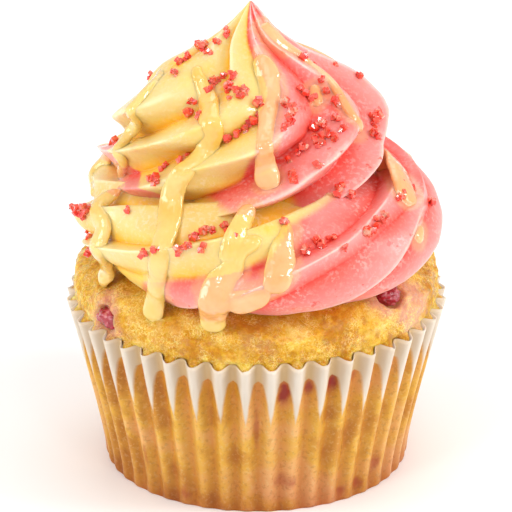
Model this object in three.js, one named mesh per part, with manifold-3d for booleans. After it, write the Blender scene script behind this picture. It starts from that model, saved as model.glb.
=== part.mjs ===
// A frosted cupcake in its pleated paper case, in millimetres, +Z up.
// The origin is the middle of the flat floor of the case, and the cake's front faces -Y.
import * as THREE from 'three';
import { mergeVertices } from 'three/addons/utils/BufferGeometryUtils.js';
import Module from 'manifold-3d';

const wasm = await Module();
wasm.setup();

// ---------------------------------------------------------------- driving dimensions
const GAP = 0.32;
const SMALLEST_DETAIL = 0.05;

// Paper case: a standard muffin case.
const CASE_PLEATS = 44;
const CASE_FLOOR_RADIUS = 26.3;
const CASE_FLOOR_ROUNDING = 0.6;
const CASE_RIM_RADIUS = 32.8;
const CASE_HEIGHT = 29.5;
const CASE_FOLD_DEPTH_FLOOR = 0.9;
const CASE_FOLD_DEPTH_RIM = 2.0;
const CASE_FOLD_RISE = 0.6;
const CASE_CORNER = 2.2;
const PAPER_THICKNESS = 0.3;
const FIRST_PLEAT_DEG = 266.5;

// Cake: it fills the case and swells a little over its rim into a dome.
const CAKE_TOP = 39.8;
const CAKE_SWELL_RADIUS = 31.4;
const CAKE_SWELL_HEIGHT = 31.9;
const CRAG_DEPTH = 0.32;

// Berry pieces that show in the cake: azimuth, distance from the axis, height, radii.
const BERRIES = [
  { name: 'berry_left', azimuth: 213.5, radius: 29.9, height: 32.2, along: 3, out: 2.2, up: 1.9 },
  { name: 'berry_right', azimuth: 324, radius: 27.6, height: 36.2, along: 2.5, out: 2.2, up: 2.0 },
];

// Frosting: one rope from a star nozzle, wound counter-clockwise.
const CREST_ROUNDING = 0.07;
const CROWN_ROUNDING = 0.18;
const FACE_HOLLOW = 0.8;

// ---------------------------------------------------------------- small helpers
const TURN = 360;

function radians(degrees) {
  return (degrees * Math.PI) / 180;
}

function clamp01(value) {
  return Math.min(1, Math.max(0, value));
}

function polar(azimuth, radius, height) {
  const a = radians(azimuth);
  return new THREE.Vector3(radius * Math.cos(a), radius * Math.sin(a), height);
}

// A smooth curve through named stations: [[position, value], ...].
function stations(pairs) {
  const last = pairs.length - 1;
  const slope = pairs.map((pair, i) => {
    const a = pairs[Math.max(0, i - 1)];
    const b = pairs[Math.min(last, i + 1)];
    return (b[1] - a[1]) / (b[0] - a[0]);
  });
  return (position) => {
    const x = Math.min(pairs[last][0], Math.max(pairs[0][0], position));
    let i = 0;
    while (i < last - 1 && x > pairs[i + 1][0]) i += 1;
    const h = pairs[i + 1][0] - pairs[i][0];
    const t = (x - pairs[i][0]) / h;
    const t2 = t * t;
    const t3 = t2 * t;
    return (2 * t3 - 3 * t2 + 1) * pairs[i][1]
      + (t3 - 2 * t2 + t) * h * slope[i]
      + (3 * t2 - 2 * t3) * pairs[i + 1][1]
      + (t3 - t2) * h * slope[i + 1];
  };
}

// A seeded draw between 0 and 1, the same on every run.
function seededDraw(seed) {
  let state = seed;
  return () => {
    state = (state * 1664525 + 1013904223) % 4294967296;
    return state / 4294967296;
  };
}

// One closed skin over rings of points, closed by a fan of faces at each end. Each four-sided
// cell is split along its shorter diagonal.
function skinOverRings(rings) {
  const count = rings[0].length;
  const points = rings.flat();
  const faces = [];
  for (let i = 0; i < rings.length - 1; i += 1) {
    for (let j = 0; j < count; j += 1) {
      const k = (j + 1) % count;
      const a = i * count + j;
      const b = i * count + k;
      const c = (i + 1) * count + k;
      const d = (i + 1) * count + j;
      const split = points[a].distanceTo(points[c]) < points[b].distanceTo(points[d]);
      faces.push(...(split ? [a, b, c, a, c, d] : [a, b, d, b, c, d]));
    }
  }
  for (const [ring, flip] of [[0, true], [rings.length - 1, false]]) {
    const middle = new THREE.Vector3();
    rings[ring].forEach((p) => middle.addScaledVector(p, 1 / count));
    const m = points.push(middle) - 1;
    for (let j = 0; j < count; j += 1) {
      const a = ring * count + j;
      const b = ring * count + ((j + 1) % count);
      faces.push(...(flip ? [m, b, a] : [m, a, b]));
    }
  }
  const geometry = new THREE.BufferGeometry();
  const coordinates = points.flatMap((p) => [p.x, p.y, p.z]);
  geometry.setAttribute('position', new THREE.Float32BufferAttribute(coordinates, 3));
  geometry.setIndex(faces);
  return geometry;
}

// ---------------------------------------------------------------- solids
function solidOf(geometry) {
  const bare = geometry.clone();
  bare.deleteAttribute('normal');
  bare.deleteAttribute('uv');
  const merged = mergeVertices(bare, 1e-4);
  const vertProperties = new Float32Array(merged.attributes.position.array);
  const triVerts = new Uint32Array(merged.index.array);
  let solid = new wasm.Manifold(new wasm.Mesh({ numProp: 3, vertProperties, triVerts }));
  if (solid.volume() < 0) {
    for (let i = 0; i < triVerts.length; i += 3) {
      [triVerts[i], triVerts[i + 1]] = [triVerts[i + 1], triVerts[i]];
    }
    solid = new wasm.Manifold(new wasm.Mesh({ numProp: 3, vertProperties, triVerts }));
  }
  return solid;
}

function geometryOf(solid) {
  const mesh = solid.getMesh();
  const geometry = new THREE.BufferGeometry();
  geometry.setAttribute('position', new THREE.Float32BufferAttribute(mesh.vertProperties, 3));
  geometry.setIndex(new THREE.Uint32BufferAttribute(mesh.triVerts, 1));
  geometry.computeVertexNormals();
  return geometry;
}

// Keeps the largest body of a solid: it drops loose scraps and fills sealed hollows.
function largestBody(solid) {
  const bodies = solid.decompose();
  bodies.sort((a, b) => b.volume() - a.volume());
  return bodies[0];
}

// ---------------------------------------------------------------- paper case
// Each pleat has a flat-topped outward fold and a flat-bottomed inward fold.
const PLEAT_FOLDS = [[-0.15, 0], [0.15, 0], [0.36, 1], [0.64, 1]];

function caseRing(height, radius, foldDepth, foldRise) {
  const ring = [];
  for (let pleat = 0; pleat < CASE_PLEATS; pleat += 1) {
    for (const [along, inward] of PLEAT_FOLDS) {
      const azimuth = FIRST_PLEAT_DEG + ((pleat + along) * TURN) / CASE_PLEATS;
      ring.push(polar(azimuth, radius - foldDepth * inward, height + foldRise * inward));
    }
  }
  return ring;
}

function caseRadius(height) {
  const t = (height - CASE_CORNER) / (CASE_HEIGHT - CASE_CORNER);
  return CASE_FLOOR_RADIUS + (CASE_RIM_RADIUS - CASE_FLOOR_RADIUS) * t;
}

function caseFoldDepth(height) {
  const t = (height - CASE_CORNER) / (CASE_HEIGHT - CASE_CORNER);
  return CASE_FOLD_DEPTH_FLOOR + (CASE_FOLD_DEPTH_RIM - CASE_FOLD_DEPTH_FLOOR) * t;
}

function makeCase() {
  const edge = CASE_FLOOR_RADIUS - CASE_FLOOR_ROUNDING;
  const bend = CASE_FLOOR_RADIUS - CASE_FLOOR_ROUNDING * 0.25;
  const outside = [
    caseRing(0, edge, 0.2, 0),
    caseRing(0.7, bend, 0.7, 0),
    caseRing(CASE_CORNER, CASE_FLOOR_RADIUS, CASE_FOLD_DEPTH_FLOOR, 0),
    caseRing(CASE_HEIGHT, CASE_RIM_RADIUS, CASE_FOLD_DEPTH_RIM, CASE_FOLD_RISE),
  ];
  const inside = [
    caseRing(CASE_HEIGHT, CASE_RIM_RADIUS - PAPER_THICKNESS, CASE_FOLD_DEPTH_RIM, CASE_FOLD_RISE),
    caseRing(CASE_CORNER, CASE_FLOOR_RADIUS - PAPER_THICKNESS, CASE_FOLD_DEPTH_FLOOR, 0),
    caseRing(PAPER_THICKNESS, edge - PAPER_THICKNESS * 0.4, 0.2, 0),
  ];
  return skinOverRings([...outside, ...inside]);
}

// ---------------------------------------------------------------- cake
const CAKE_SIDES = 44;

// The cake's outline from the edge of its floor to the top of its dome: [radius, height].
function cakeOutline() {
  const inward = PAPER_THICKNESS + GAP;
  const wall = (height) => caseRadius(height) - caseFoldDepth(height) - inward;
  const floor = PAPER_THICKNESS + GAP;
  const outline = [
    [CASE_FLOOR_RADIUS - 3.2, floor],
    [CASE_FLOOR_RADIUS - 1.95, floor + 0.7],
    [wall(CASE_CORNER) - 0.1, CASE_CORNER + 0.3],
    [wall(16), 16],
    [wall(CASE_HEIGHT - 0.4), CASE_HEIGHT - 0.4],
    [CAKE_SWELL_RADIUS - 0.9, CASE_HEIGHT + CASE_FOLD_RISE + GAP + 0.15],
    [CAKE_SWELL_RADIUS, CAKE_SWELL_HEIGHT],
  ];
  for (const radius of [30.9, 30.1, 28.6, 26.4, 22, 12]) {
    outline.push([radius, domeHeight(radius)]);
  }
  return outline;
}

function domeHeight(radius) {
  const share = Math.min(1, radius / CAKE_SWELL_RADIUS);
  return CAKE_SWELL_HEIGHT + 0.9 + (CAKE_TOP - CAKE_SWELL_HEIGHT - 0.9) * (1 - share ** 4) ** 0.5;
}

// Low crags of the baked crust, deepest round the dome's shoulder.
function crag(azimuth, height) {
  const a = radians(azimuth);
  const wave = Math.sin(7 * a + 0.9 * height)
    + Math.sin(13 * a - 1.7 * height + 1)
    + Math.sin(23 * a + 2.3 * height);
  return (CRAG_DEPTH / 3) * wave * clamp01((height - 31) / 2);
}

function cakeRings(grow) {
  return cakeOutline().map(([radius, height]) => {
    const ring = [];
    for (let i = 0; i < CAKE_SIDES; i += 1) {
      const azimuth = (i * TURN) / CAKE_SIDES;
      const relief = crag(azimuth, height);
      ring.push(polar(azimuth, radius + relief + grow, height + relief + grow));
    }
    return ring;
  });
}

// ---------------------------------------------------------------- berry pieces
function berryGeometry(berry, grow, around, upDown) {
  const geometry = new THREE.SphereGeometry(1, around, upDown);
  geometry.rotateX(Math.PI / 2);
  geometry.scale(berry.out + grow, berry.along + grow, berry.up + grow);
  geometry.rotateZ(radians(berry.azimuth));
  const place = polar(berry.azimuth, berry.radius, berry.height);
  geometry.translate(place.x, place.y, place.z);
  return geometry;
}

// ---------------------------------------------------------------- frosting, lower turn
const ropeRadius = stations([
  [60, 19], [120, 19.5], [150, 19.4], [165, 19.2], [180, 19.2], [195, 20.3], [210, 20.3], [240, 21.5],
  [270, 22.3], [300, 22.8], [330, 22.4], [360, 20.2], [390, 17.2], [420, 15.5], [450, 14.5], [540, 12],
]);
const ropeHeight = stations([
  [60, 44], [120, 44.2], [180, 44.4], [210, 45.2], [240, 45.4], [270, 45.5], [300, 45.7], [330, 46],
  [360, 46.7], [390, 48.1], [420, 50.1], [450, 52], [540, 58],
]);
const ropeHalfWidth = stations([
  [60, 9], [120, 10.6], [150, 11], [165, 11.1], [180, 11.6], [195, 13.3], [210, 13.3], [240, 13],
  [270, 12.6], [300, 12.2], [330, 11.8], [360, 11], [390, 10], [420, 9.8], [450, 10.5], [540, 12],
]);
const ropeHalfHeight = stations([[60, 9], [120, 11], [180, 12], [540, 12]]);
const ROPE_SQUASH_UP = 0.825;
const ROPE_SQUASH_DOWN = 0.7;
// How deep the valley after each flute is, as a share of the rope's half width.
const ROPE_DEPTHS = [0.25, 0.25, 0.12, 0.16, 0.22, 0.25, 0.25];
// Where the rope swells or sinks on its own: turned angle, direction, width, share.
const ROPE_SWELLS = [[190, 212, 18, -0.2], [172, 478, 16, 0.25]];
// The rope's crests and the valleys after them, as directions round the rope that change with
// the way the rope has turned. A crest's place round the rope is the turned angle less this.
const ROPE_STATIONS = [60, 180, 210, 240, 270, 285, 300, 315, 330, 360, 420, 540];
const ROPE_CRESTS = [
  [172, 172, 165, 159, 159, 159, 160, 162, 164, 170, 175, 175],
  [223, 214, 207, 211, 208, 206, 205.5, 207, 214, 226, 226, 226],
  [290, 300, 302, 298, 268, 262.5, 260, 257.5, 262, 275, 275, 275],
  [335, 348, 347, 345, 338, 334, 328, 308, 296, 305, 322, 322],
  [378, 392, 391, 389, 385, 380, 372, 362, 354, 352, 368, 368],
  [422, 436, 435, 432, 426, 421, 417, 412, 407, 402, 418, 418],
  [470, 498, 486, 478, 474, 471, 468, 466, 464, 462, 468, 468],
].map(alongRope);
const ROPE_VALLEYS = [
  [204, 200, 201, 204, 196, 194, 194, 196, 200, 210, 212, 212],
  [262, 245, 243, 247, 250.5, 250.5, 250, 246, 246, 262, 262, 262],
  [318, 325, 322, 318, 304, 284, 277.5, 276, 284, 296, 308, 308],
  [362, 375, 374, 372, 365, 358, 350, 325, 312, 332, 352, 352],
  [408, 420, 420, 418, 412, 408, 403, 398, 392, 388, 404, 404],
  [455, 468, 466, 462, 458, 455, 452, 450, 447, 444, 452, 452],
  [510, 520, 513, 508, 505, 505, 505, 506, 508, 512, 518, 518],
].map(alongRope);
const VALLEY_PLACE = 0.6;
const ROPE_LINES = [0, 0.3, VALLEY_PLACE, 0.8];

function alongRope(directions) {
  return stations(directions.map((direction, i) => [ROPE_STATIONS[i], direction]));
}

// How far a flute's surface has sunk, from 0 on its crest to 1 in its valley.
function sunk(share, valleyPlace, rounding) {
  const s = share < valleyPlace ? share / valleyPlace : (1 - share) / (1 - valleyPlace);
  const e = rounding;
  return ((Math.sqrt(s * s + e * e) - e) / (Math.sqrt(1 + e * e) - e)) ** FACE_HOLLOW;
}

// The direction of a line at a share of the way from one crest over its valley to the next.
function ropeDirection(flute, share, turned) {
  const valley = ROPE_VALLEYS[flute](turned);
  if (share < VALLEY_PLACE) {
    const crest = ROPE_CRESTS[flute](turned);
    return crest + ((valley - crest) * share) / VALLEY_PLACE;
  }
  const wraps = flute + 1 === ROPE_CRESTS.length;
  const next = wraps ? ROPE_CRESTS[0](turned) + TURN : ROPE_CRESTS[flute + 1](turned);
  return valley + ((next - valley) * (share - VALLEY_PLACE)) / (1 - VALLEY_PLACE);
}

function ropeSwell(turned, direction) {
  let size = 1;
  for (const [atTurn, atDirection, width, share] of ROPE_SWELLS) {
    const away = ((turned - atTurn) / width) ** 2 + ((direction - atDirection) / width) ** 2;
    size *= 1 + share * Math.exp(-away);
  }
  return size;
}

function ropeRing(turned) {
  const ring = [];
  for (let flute = 0; flute < ROPE_CRESTS.length; flute += 1) {
    for (const share of ROPE_LINES) {
      const direction = ropeDirection(flute, share, turned);
      const depth = ROPE_DEPTHS[flute] * sunk(share, VALLEY_PLACE, CREST_ROUNDING);
      const size = (1 - depth) * ropeSwell(turned, direction);
      const round = radians(turned - direction);
      const up = Math.sin(round);
      const squash = up > 0 ? ROPE_SQUASH_UP : ROPE_SQUASH_DOWN;
      const radius = ropeRadius(turned) + ropeHalfWidth(turned) * size * Math.cos(round);
      const height = ropeHeight(turned) + ropeHalfHeight(turned) * size * squash * up;
      ring.push(polar(turned, radius, height));
    }
  }
  return ring;
}

function ropeBetween(from, to, step) {
  const rings = [];
  const count = Math.round((to - from) / step);
  for (let i = 0; i <= count; i += 1) {
    rings.push(ropeRing(from + ((to - from) * i) / count));
  }
  return skinOverRings(rings);
}

// ---------------------------------------------------------------- frosting, upper turn
const crownRadius = stations([
  [46, 10], [50, 19.5], [53, 23.6], [57, 25], [60, 23.8], [63, 23.8], [66, 23.4], [69.5, 19.3],
  [72.5, 14.1], [75, 9.9], [77.5, 6.8], [80.5, 3.3], [83.8, 0.25],
]);
const crownShift = stations([[46, -1.2], [54, -1.5], [60, -1.3], [66, -0.9], [84, -1]]);
const CROWN_FLUTE_HEIGHTS = [47, 56.5, 62, 66.5, 71.5, 75.5, 79, 84];
// Compass direction of each crest at those heights.
const CROWN_FLUTES = [
  [85, 143, 177, 199, 219, 222, 207, 190],
  [118, 180, 212, 234, 257, 247, 232, 218],
  [165, 222, 246, 275, 296, 290, 277, 263],
  [215, 272, 303, 319, 331, 322, 302, 288],
  [266, 322, 355, 373, 383, 370, 356, 343],
  [325, 378, 412, 425, 437, 425, 412, 398],
  [382, 430, 465, 482, 500, 498, 488, 478],
].map((directions) => stations(directions.map((d, i) => [CROWN_FLUTE_HEIGHTS[i], d])));
const CROWN_DEPTH = 0.25;
const CROWN_VALLEY = 0.68;
const CROWN_LINES = [0, 0.2, 0.45, CROWN_VALLEY, 0.85];
// The underside climbs with the rope: its lift at each compass direction.
const crownLift = stations([[0, 2.4], [90, 0.5], [180, -1.5], [270, 1.2], [360, 2.4]]);
// How far its shoulder sits below or above the same height elsewhere.
const crownDrop = stations([
  [0, 2], [40, 0.8], [80, 0.5], [120, 2.9], [160, 0.1], [200, -3.4], [230, 0], [330, 0], [360, 2],
]);
// Low on one side it swells a little, and on the next its valleys are shallower.
const HEEL_DEG = 152;
const HEEL_SWELL = 0.12;
const SHALLOW_DEG = 195;
const SHALLOW_SHARE = 0.6;

// Heights of its rings, closer together towards the peak.
const CROWN_RINGS = [46.5, 49, 51.5, 54, 56.5, 59, 61.5, 64, 66.5, 68.5, 70.5, 72.5, 74.2, 76, 78, 80.2,
  82.2, 83.8];

function crownRing(height) {
  const ring = [];
  for (let flute = 0; flute < CROWN_FLUTES.length; flute += 1) {
    const here = CROWN_FLUTES[flute](height);
    const wraps = flute + 1 === CROWN_FLUTES.length;
    const next = wraps ? CROWN_FLUTES[0](height) + TURN : CROWN_FLUTES[flute + 1](height);
    for (const share of CROWN_LINES) {
      const azimuth = (here + (next - here) * share) % TURN;
      const lift = crownLift(azimuth) * clamp01((64 - height) / 9);
      const drop = crownDrop(azimuth) * clamp01((height - 52) / 8) * clamp01((81 - height) / 9);
      const heel = HEEL_SWELL * Math.exp(-(((azimuth - HEEL_DEG) / 20) ** 2)) * clamp01((60 - height) / 5);
      const shallow = SHALLOW_SHARE * Math.exp(-(((azimuth - SHALLOW_DEG) / 17) ** 2))
        * clamp01((61 - height) / 4);
      const depth = CROWN_DEPTH * sunk(share, CROWN_VALLEY, CROWN_ROUNDING) * (1 - shallow);
      const size = (1 - depth) * (1 + heel);
      const point = polar(azimuth, crownRadius(height - lift + drop) * size, height);
      point.x += crownShift(height);
      ring.push(point);
    }
  }
  return ring;
}

function makeCrown() {
  return skinOverRings(CROWN_RINGS.map(crownRing));
}

// ---------------------------------------------------------------- drizzle
// Each run of syrup, from its top to its drop: [azimuth, height, half width] on the way.
const DRIZZLE = [
  [[300, 80.6, 1], [316, 78.8, 1.3], [326, 77, 1.2], [340, 75.3, 1.2], [345, 73.6, 1.1],
    [338, 72.3, 0.9], [331, 71.5, 0.8], [326, 70.2, 0.75], [323, 68.8, 0.75], [323, 67.3, 0.8],
    [327, 65.6, 0.9], [334, 64, 1], [342, 62.4, 1.2]],
  [[272, 76.8, 0.9], [278, 75.4, 1.5], [281.5, 73.8, 1.8], [281, 72.2, 1.8], [279, 70.8, 1.6],
    [276.5, 69.5, 1.3], [274.6, 68, 1.2], [273.6, 66, 1.3], [274, 63, 1.5], [275, 60, 2], [275, 58.6, 2.4]],
  [[213.6, 74.8, 0.7], [222, 73.5, 1], [229, 71.9, 1.2], [236, 70.6, 1.5], [243.5, 69.6, 1.6],
    [248, 68.4, 1.6], [248, 66.4, 1.4], [244.5, 64, 1.4], [241, 62, 1.5], [237, 59.6, 1.6],
    [234.8, 57, 1.7], [235.5, 54.8, 1.9], [238, 52.8, 1.8], [240, 50.3, 1.6], [239.7, 48, 1.6],
    [238, 44.8, 1.5], [236.5, 41.9, 1.5], [234, 38, 1.7], [234, 35.2, 1.9]],
  [[186, 71.6, 0.7], [201, 71.2, 0.9], [207.5, 69.6, 0.9], [205, 66.5, 1], [198, 62.6, 1], [201, 60.4, 1],
    [203, 58.5, 0.9], [196, 55.5, 0.9], [190, 53.4, 1.1]],
  [[178, 54.5, 0.9], [173, 53, 1], [173, 50.8, 1], [180, 49.8, 0.9], [187, 49.6, 0.8]],
  [[206, 53.8, 1.1], [205, 51.9, 1.3], [208, 50.5, 1.5], [212.5, 49.4, 1.6], [213.5, 47.8, 1.6],
    [213.5, 46.2, 1.6], [212.5, 44.4, 1.6], [210, 42.6, 1.7], [207, 40.2, 1.8], [204.5, 38, 1.9],
    [203.5, 36.4, 2]],
  [[265, 49.3, 1.4], [261.3, 46.9, 2], [258.8, 44.8, 2.4], [257.8, 42.2, 2.4], [256.3, 38.6, 1.9],
    [256.4, 35.4, 1.9]],
  [[268, 56.9, 1.3], [265, 54.6, 1.5], [262.8, 52.9, 1.5], [261.4, 51, 1.3], [260.8, 49, 1.4]],
  [[281.2, 54.6, 0.9], [280, 52.9, 1.1], [278.4, 51.3, 1.7], [277.4, 49.3, 2.1], [276.2, 47.8, 2.1],
    [275, 46, 1.8], [274.2, 44.7, 1.5]],
  [[271.8, 53, 1], [268, 52, 1.2], [265.2, 50.7, 1], [264, 49, 1.1], [263.5, 47.1, 1.4]],
  [[274, 45.2, 1.5], [270, 43.9, 1.8], [265.5, 42.9, 2], [261, 42.6, 2]],
  [[357, 57, 1.2], [350, 56.2, 1.7], [343, 55.8, 2.1], [337, 54.8, 2.3], [333, 53.5, 2.4], [329.5, 52.3, 2.4]],
  [[332, 49, 0.6], [329.6, 48, 0.9], [326.2, 47, 1]],
  [[322.8, 71.8, 0.7], [317.3, 70.3, 1], [313.2, 69, 1]],
  [[60, 74.5, 1], [44, 70, 1.1], [34, 65, 1.1], [36, 60.5, 1.4]],
  [[112, 76, 1], [92, 71, 1.3], [84, 65, 1.4], [88, 58.5, 1.7]],
  [[150, 74, 0.9], [134, 68, 1.1], [126, 62, 1.2], [128, 55.5, 1.5]],
  [[62, 54, 1], [66, 49, 1.4], [62, 44, 1.4], [64, 38.2, 1.7]],
  [[112, 53, 1.1], [106, 48, 1.4], [109, 42.5, 1.7]],
  [[16, 54, 1], [20, 48, 1.3], [17, 42, 1.6]],
];
const SYRUP_SPREAD = 1.25;
const SYRUP_THICKNESS = 0.7;
const SYRUP_FULLNESS = 0.45;
const SYRUP_ROOT = 1.3;
const SYRUP_STEP = 4.2;
const SYRUP_REACH = 24;
const SYRUP_END_SHARE = 0.5;
const SYRUP_SIDES = 5;
// How far a hanging run leans in for each millimetre of its length.
const SYRUP_LEAN = 0.8;

const caster = new THREE.Raycaster();

// Where a level ray towards the axis first meets the shapes, with the way the surface faces.
function landOn(shapes, azimuth, height) {
  const start = polar(azimuth, 60, height);
  const inward = new THREE.Vector3(-start.x, -start.y, 0).normalize();
  caster.set(start, inward);
  const hit = caster.intersectObjects(shapes)[0];
  return { azimuth, height, radius: Math.hypot(hit.point.x, hit.point.y), facing: hit.face.normal.clone() };
}

// A run of syrup follows the surface, hangs from the crests, bridges the valleys and ends in a
// drop.
function syrupRun(run, shapes) {
  const column = (index) => stations(run.map((place, i) => [i, place[index]]));
  const azimuthAt = column(0);
  const heightAt = column(1);
  const halfAt = column(2);
  const last = run.length - 1;
  let length = 0;
  for (let i = 0; i < last; i += 1) {
    const across = radians(run[i + 1][0] - run[i][0]) * SYRUP_REACH;
    length += Math.hypot(across, run[i + 1][1] - run[i][1]);
  }
  const count = Math.max(3, Math.round(length / SYRUP_STEP));
  const spots = [];
  for (let i = 0; i <= count; i += 1) {
    const at = (i / count) * last;
    spots.push(landOn(shapes, azimuthAt(at), heightAt(at)));
  }
  for (let i = 1; i <= count; i += 1) {
    const hung = spots[i - 1].radius - (SYRUP_LEAN * length) / count;
    spots[i].radius = Math.max(spots[i].radius, hung);
  }
  for (let pass = 0; pass < 2; pass += 1) {
    for (let i = 1; i < count; i += 1) {
      const bridge = (spots[i - 1].radius + spots[i + 1].radius) / 2 - 0.5;
      spots[i].radius = Math.max(spots[i].radius, bridge);
    }
  }
  const line = spots.map((spot) => polar(spot.azimuth, spot.radius, spot.height));
  const rings = line.map((point, i) => {
    const along = line[Math.min(count, i + 1)].clone().sub(line[Math.max(0, i - 1)]).normalize();
    const facing = polar(spots[i].azimuth, 1, 0.4).add(spots[i].facing);
    const side = new THREE.Vector3().crossVectors(along, facing).normalize();
    const out = new THREE.Vector3().crossVectors(side, along).normalize();
    const full = i === 0 || i === count ? SYRUP_END_SHARE : 1;
    const wide = halfAt((i / count) * last);
    const half = SYRUP_SPREAD * wide * full;
    const thick = (SYRUP_THICKNESS + SYRUP_FULLNESS * (wide - 1)) * full;
    const ring = [];
    for (let k = 0; k < SYRUP_SIDES; k += 1) {
      const turn = Math.PI / 2 + (k * 2 * Math.PI) / SYRUP_SIDES;
      const across = half * Math.cos(turn);
      const up = Math.sin(turn) * (Math.sin(turn) > 0 ? thick : SYRUP_ROOT);
      ring.push(point.clone().addScaledVector(side, across).addScaledVector(out, up));
    }
    return ring;
  });
  return skinOverRings(rings);
}

// ---------------------------------------------------------------- sugar grains
// Trails of grains: [azimuth, height] of both ends, and how many lie along it.
const GRAIN_TRAILS = [
  [205, 72.8, 209, 72.9, 2], [189, 75.7, 211, 76.7, 3], [211, 77.7, 207, 78.7, 2], [196, 73.5, 199, 75, 2],
  [231, 71.9, 234, 73.2, 5], [226, 70.3, 228, 70, 1], [228, 68.7, 239, 68.6, 2], [247, 74.4, 262, 72.4, 5],
  [249, 72.2, 257, 71.8, 3], [269, 70.5, 272, 69.5, 3], [265, 68.4, 271, 68.3, 3],
  [254, 65.5, 263, 66.8, 5], [231, 61.6, 236, 63.2, 3], [220, 58.8, 223, 59.1, 1],
  [224, 58.5, 229, 58.6, 2], [172, 56, 190, 58.8, 2], [304, 72.5, 311, 70.4, 4], [329, 72.8, 328, 72.4, 1],
  [324, 70.8, 321, 69.4, 3], [315, 68, 314, 67, 2], [308, 67.5, 304, 65.8, 4], [308, 66.1, 301, 64.8, 4],
  [295, 63.5, 288, 62.2, 3], [296, 62.7, 296, 62, 1], [289, 71.7, 289, 70.7, 4], [288, 70, 284, 68.8, 3],
  [335, 74.6, 345, 72.8, 3], [15, 68.6, 14, 68.3, 1], [353, 63.3, 358, 63.6, 3], [345, 61.3, 345, 61, 2],
  [285, 60.3, 286, 60.1, 2], [311, 55.9, 312, 55, 3], [278, 54.3, 279, 53.9, 1], [296, 52, 296, 51.7, 2],
  [288, 50.9, 291, 51.3, 3], [284, 50, 284, 49.8, 1], [305, 52.3, 317, 53.1, 6], [325, 53.6, 338, 53.9, 4],
  [333, 54.7, 329, 54.5, 2], [348, 49.7, 348, 49.6, 1], [196, 48.8, 200, 49.8, 3], [203, 51, 202, 50.8, 2],
  [197, 44.2, 200, 44.5, 1], [207, 44.4, 204, 42.8, 1], [214, 52.4, 222, 54, 1], [235, 49.6, 239, 49.9, 3],
  [246, 51.2, 253, 51.9, 7], [258, 53.2, 265, 53.5, 3], [20, 70, 60, 66, 3], [90, 68, 130, 72, 3],
  [150, 66, 110, 60, 3], [40, 58, 80, 62, 2], [30, 48, 75, 52, 3], [100, 50, 160, 48, 4],
];
const GRAIN_SIZE = 1.05;
const GRAIN_SPREAD_DEG = 3.6;
const GRAIN_SPREAD_UP = 1.2;
const GRAIN_PROUD = 0.2;

function sugarGrains(shapes) {
  const draw = seededDraw(20260);
  const grains = [];
  for (const [fromAzimuth, fromHeight, toAzimuth, toHeight, count] of GRAIN_TRAILS) {
    for (let i = 0; i < count; i += 1) {
      const t = count === 1 ? 0.5 : i / (count - 1);
      const azimuth = fromAzimuth + (toAzimuth - fromAzimuth) * t + (draw() - 0.5) * GRAIN_SPREAD_DEG;
      const height = fromHeight + (toHeight - fromHeight) * t + (draw() - 0.5) * GRAIN_SPREAD_UP;
      const spot = landOn(shapes, azimuth, height);
      const grain = new THREE.TetrahedronGeometry(GRAIN_SIZE * (0.85 + 0.3 * draw()));
      grain.scale(1, 0.85, 0.75);
      grain.applyMatrix4(new THREE.Matrix4().makeRotationFromEuler(
        new THREE.Euler(draw() * 3, draw() * 3, draw() * 3),
      ));
      const place = polar(azimuth, spot.radius, height).addScaledVector(spot.facing, GRAIN_PROUD);
      grain.translate(place.x, place.y, place.z);
      grains.push(grain);
    }
  }
  return grains;
}

// ---------------------------------------------------------------- assembly
function mesh(name, geometry, colour, roughness) {
  const material = new THREE.MeshStandardMaterial({ color: colour, roughness, metalness: 0 });
  material.name = name;
  const result = new THREE.Mesh(geometry, material);
  result.name = name;
  return result;
}

function makeCore() {
  const core = new THREE.CylinderGeometry(16, 19, 26, 24);
  core.rotateX(Math.PI / 2);
  core.translate(0, 0, 50);
  return core;
}

function makeFrosting() {
  let frosting = solidOf(ropeBetween(60, 400, 11));
  frosting = frosting.add(solidOf(ropeBetween(385, 540, 15.5)));
  frosting = frosting.add(solidOf(makeCrown()));
  frosting = frosting.add(solidOf(makeCore()));
  const cakeSpace = solidOf(skinOverRings(cakeRings(GAP)));
  const shapes = [new THREE.Mesh(geometryOf(frosting)), new THREE.Mesh(geometryOf(cakeSpace))];
  const toppings = [...DRIZZLE.map((run) => syrupRun(run, shapes)), ...sugarGrains([shapes[0]])];
  frosting = wasm.Manifold.union([frosting, ...toppings.map(solidOf)]);
  frosting = frosting.subtract(cakeSpace);
  for (const berry of BERRIES) {
    frosting = frosting.subtract(solidOf(berryGeometry(berry, GAP, 14, 9)));
  }
  return largestBody(frosting.simplify(SMALLEST_DETAIL));
}

function makeCake() {
  let cake = solidOf(skinOverRings(cakeRings(0)));
  for (const berry of BERRIES) {
    cake = cake.subtract(solidOf(berryGeometry(berry, GAP, 14, 9)));
  }
  return largestBody(cake);
}

const cupcake = new THREE.Group();
cupcake.add(mesh('paper_case', geometryOf(solidOf(makeCase())), 0xe9dccb, 0.7));
cupcake.add(mesh('cake', geometryOf(makeCake()), 0xd9a23c, 0.8));
for (const berry of BERRIES) {
  cupcake.add(mesh(berry.name, geometryOf(solidOf(berryGeometry(berry, 0, 12, 7))), 0x8e1428, 0.3));
}
const frosting = makeFrosting();
cupcake.add(mesh('frosting', geometryOf(frosting), 0xf2dc94, 0.45));

export default cupcake;
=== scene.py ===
"""A frosted cupcake: cream swirl, syrup, sugar grains, sponge, fruit pieces and paper case."""
import itertools
import math
import random

import bmesh
import bpy
import numpy as np
from mathutils import Euler, Matrix, Vector, noise
from mathutils.bvhtree import BVHTree
from mathutils.kdtree import KDTree


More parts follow.
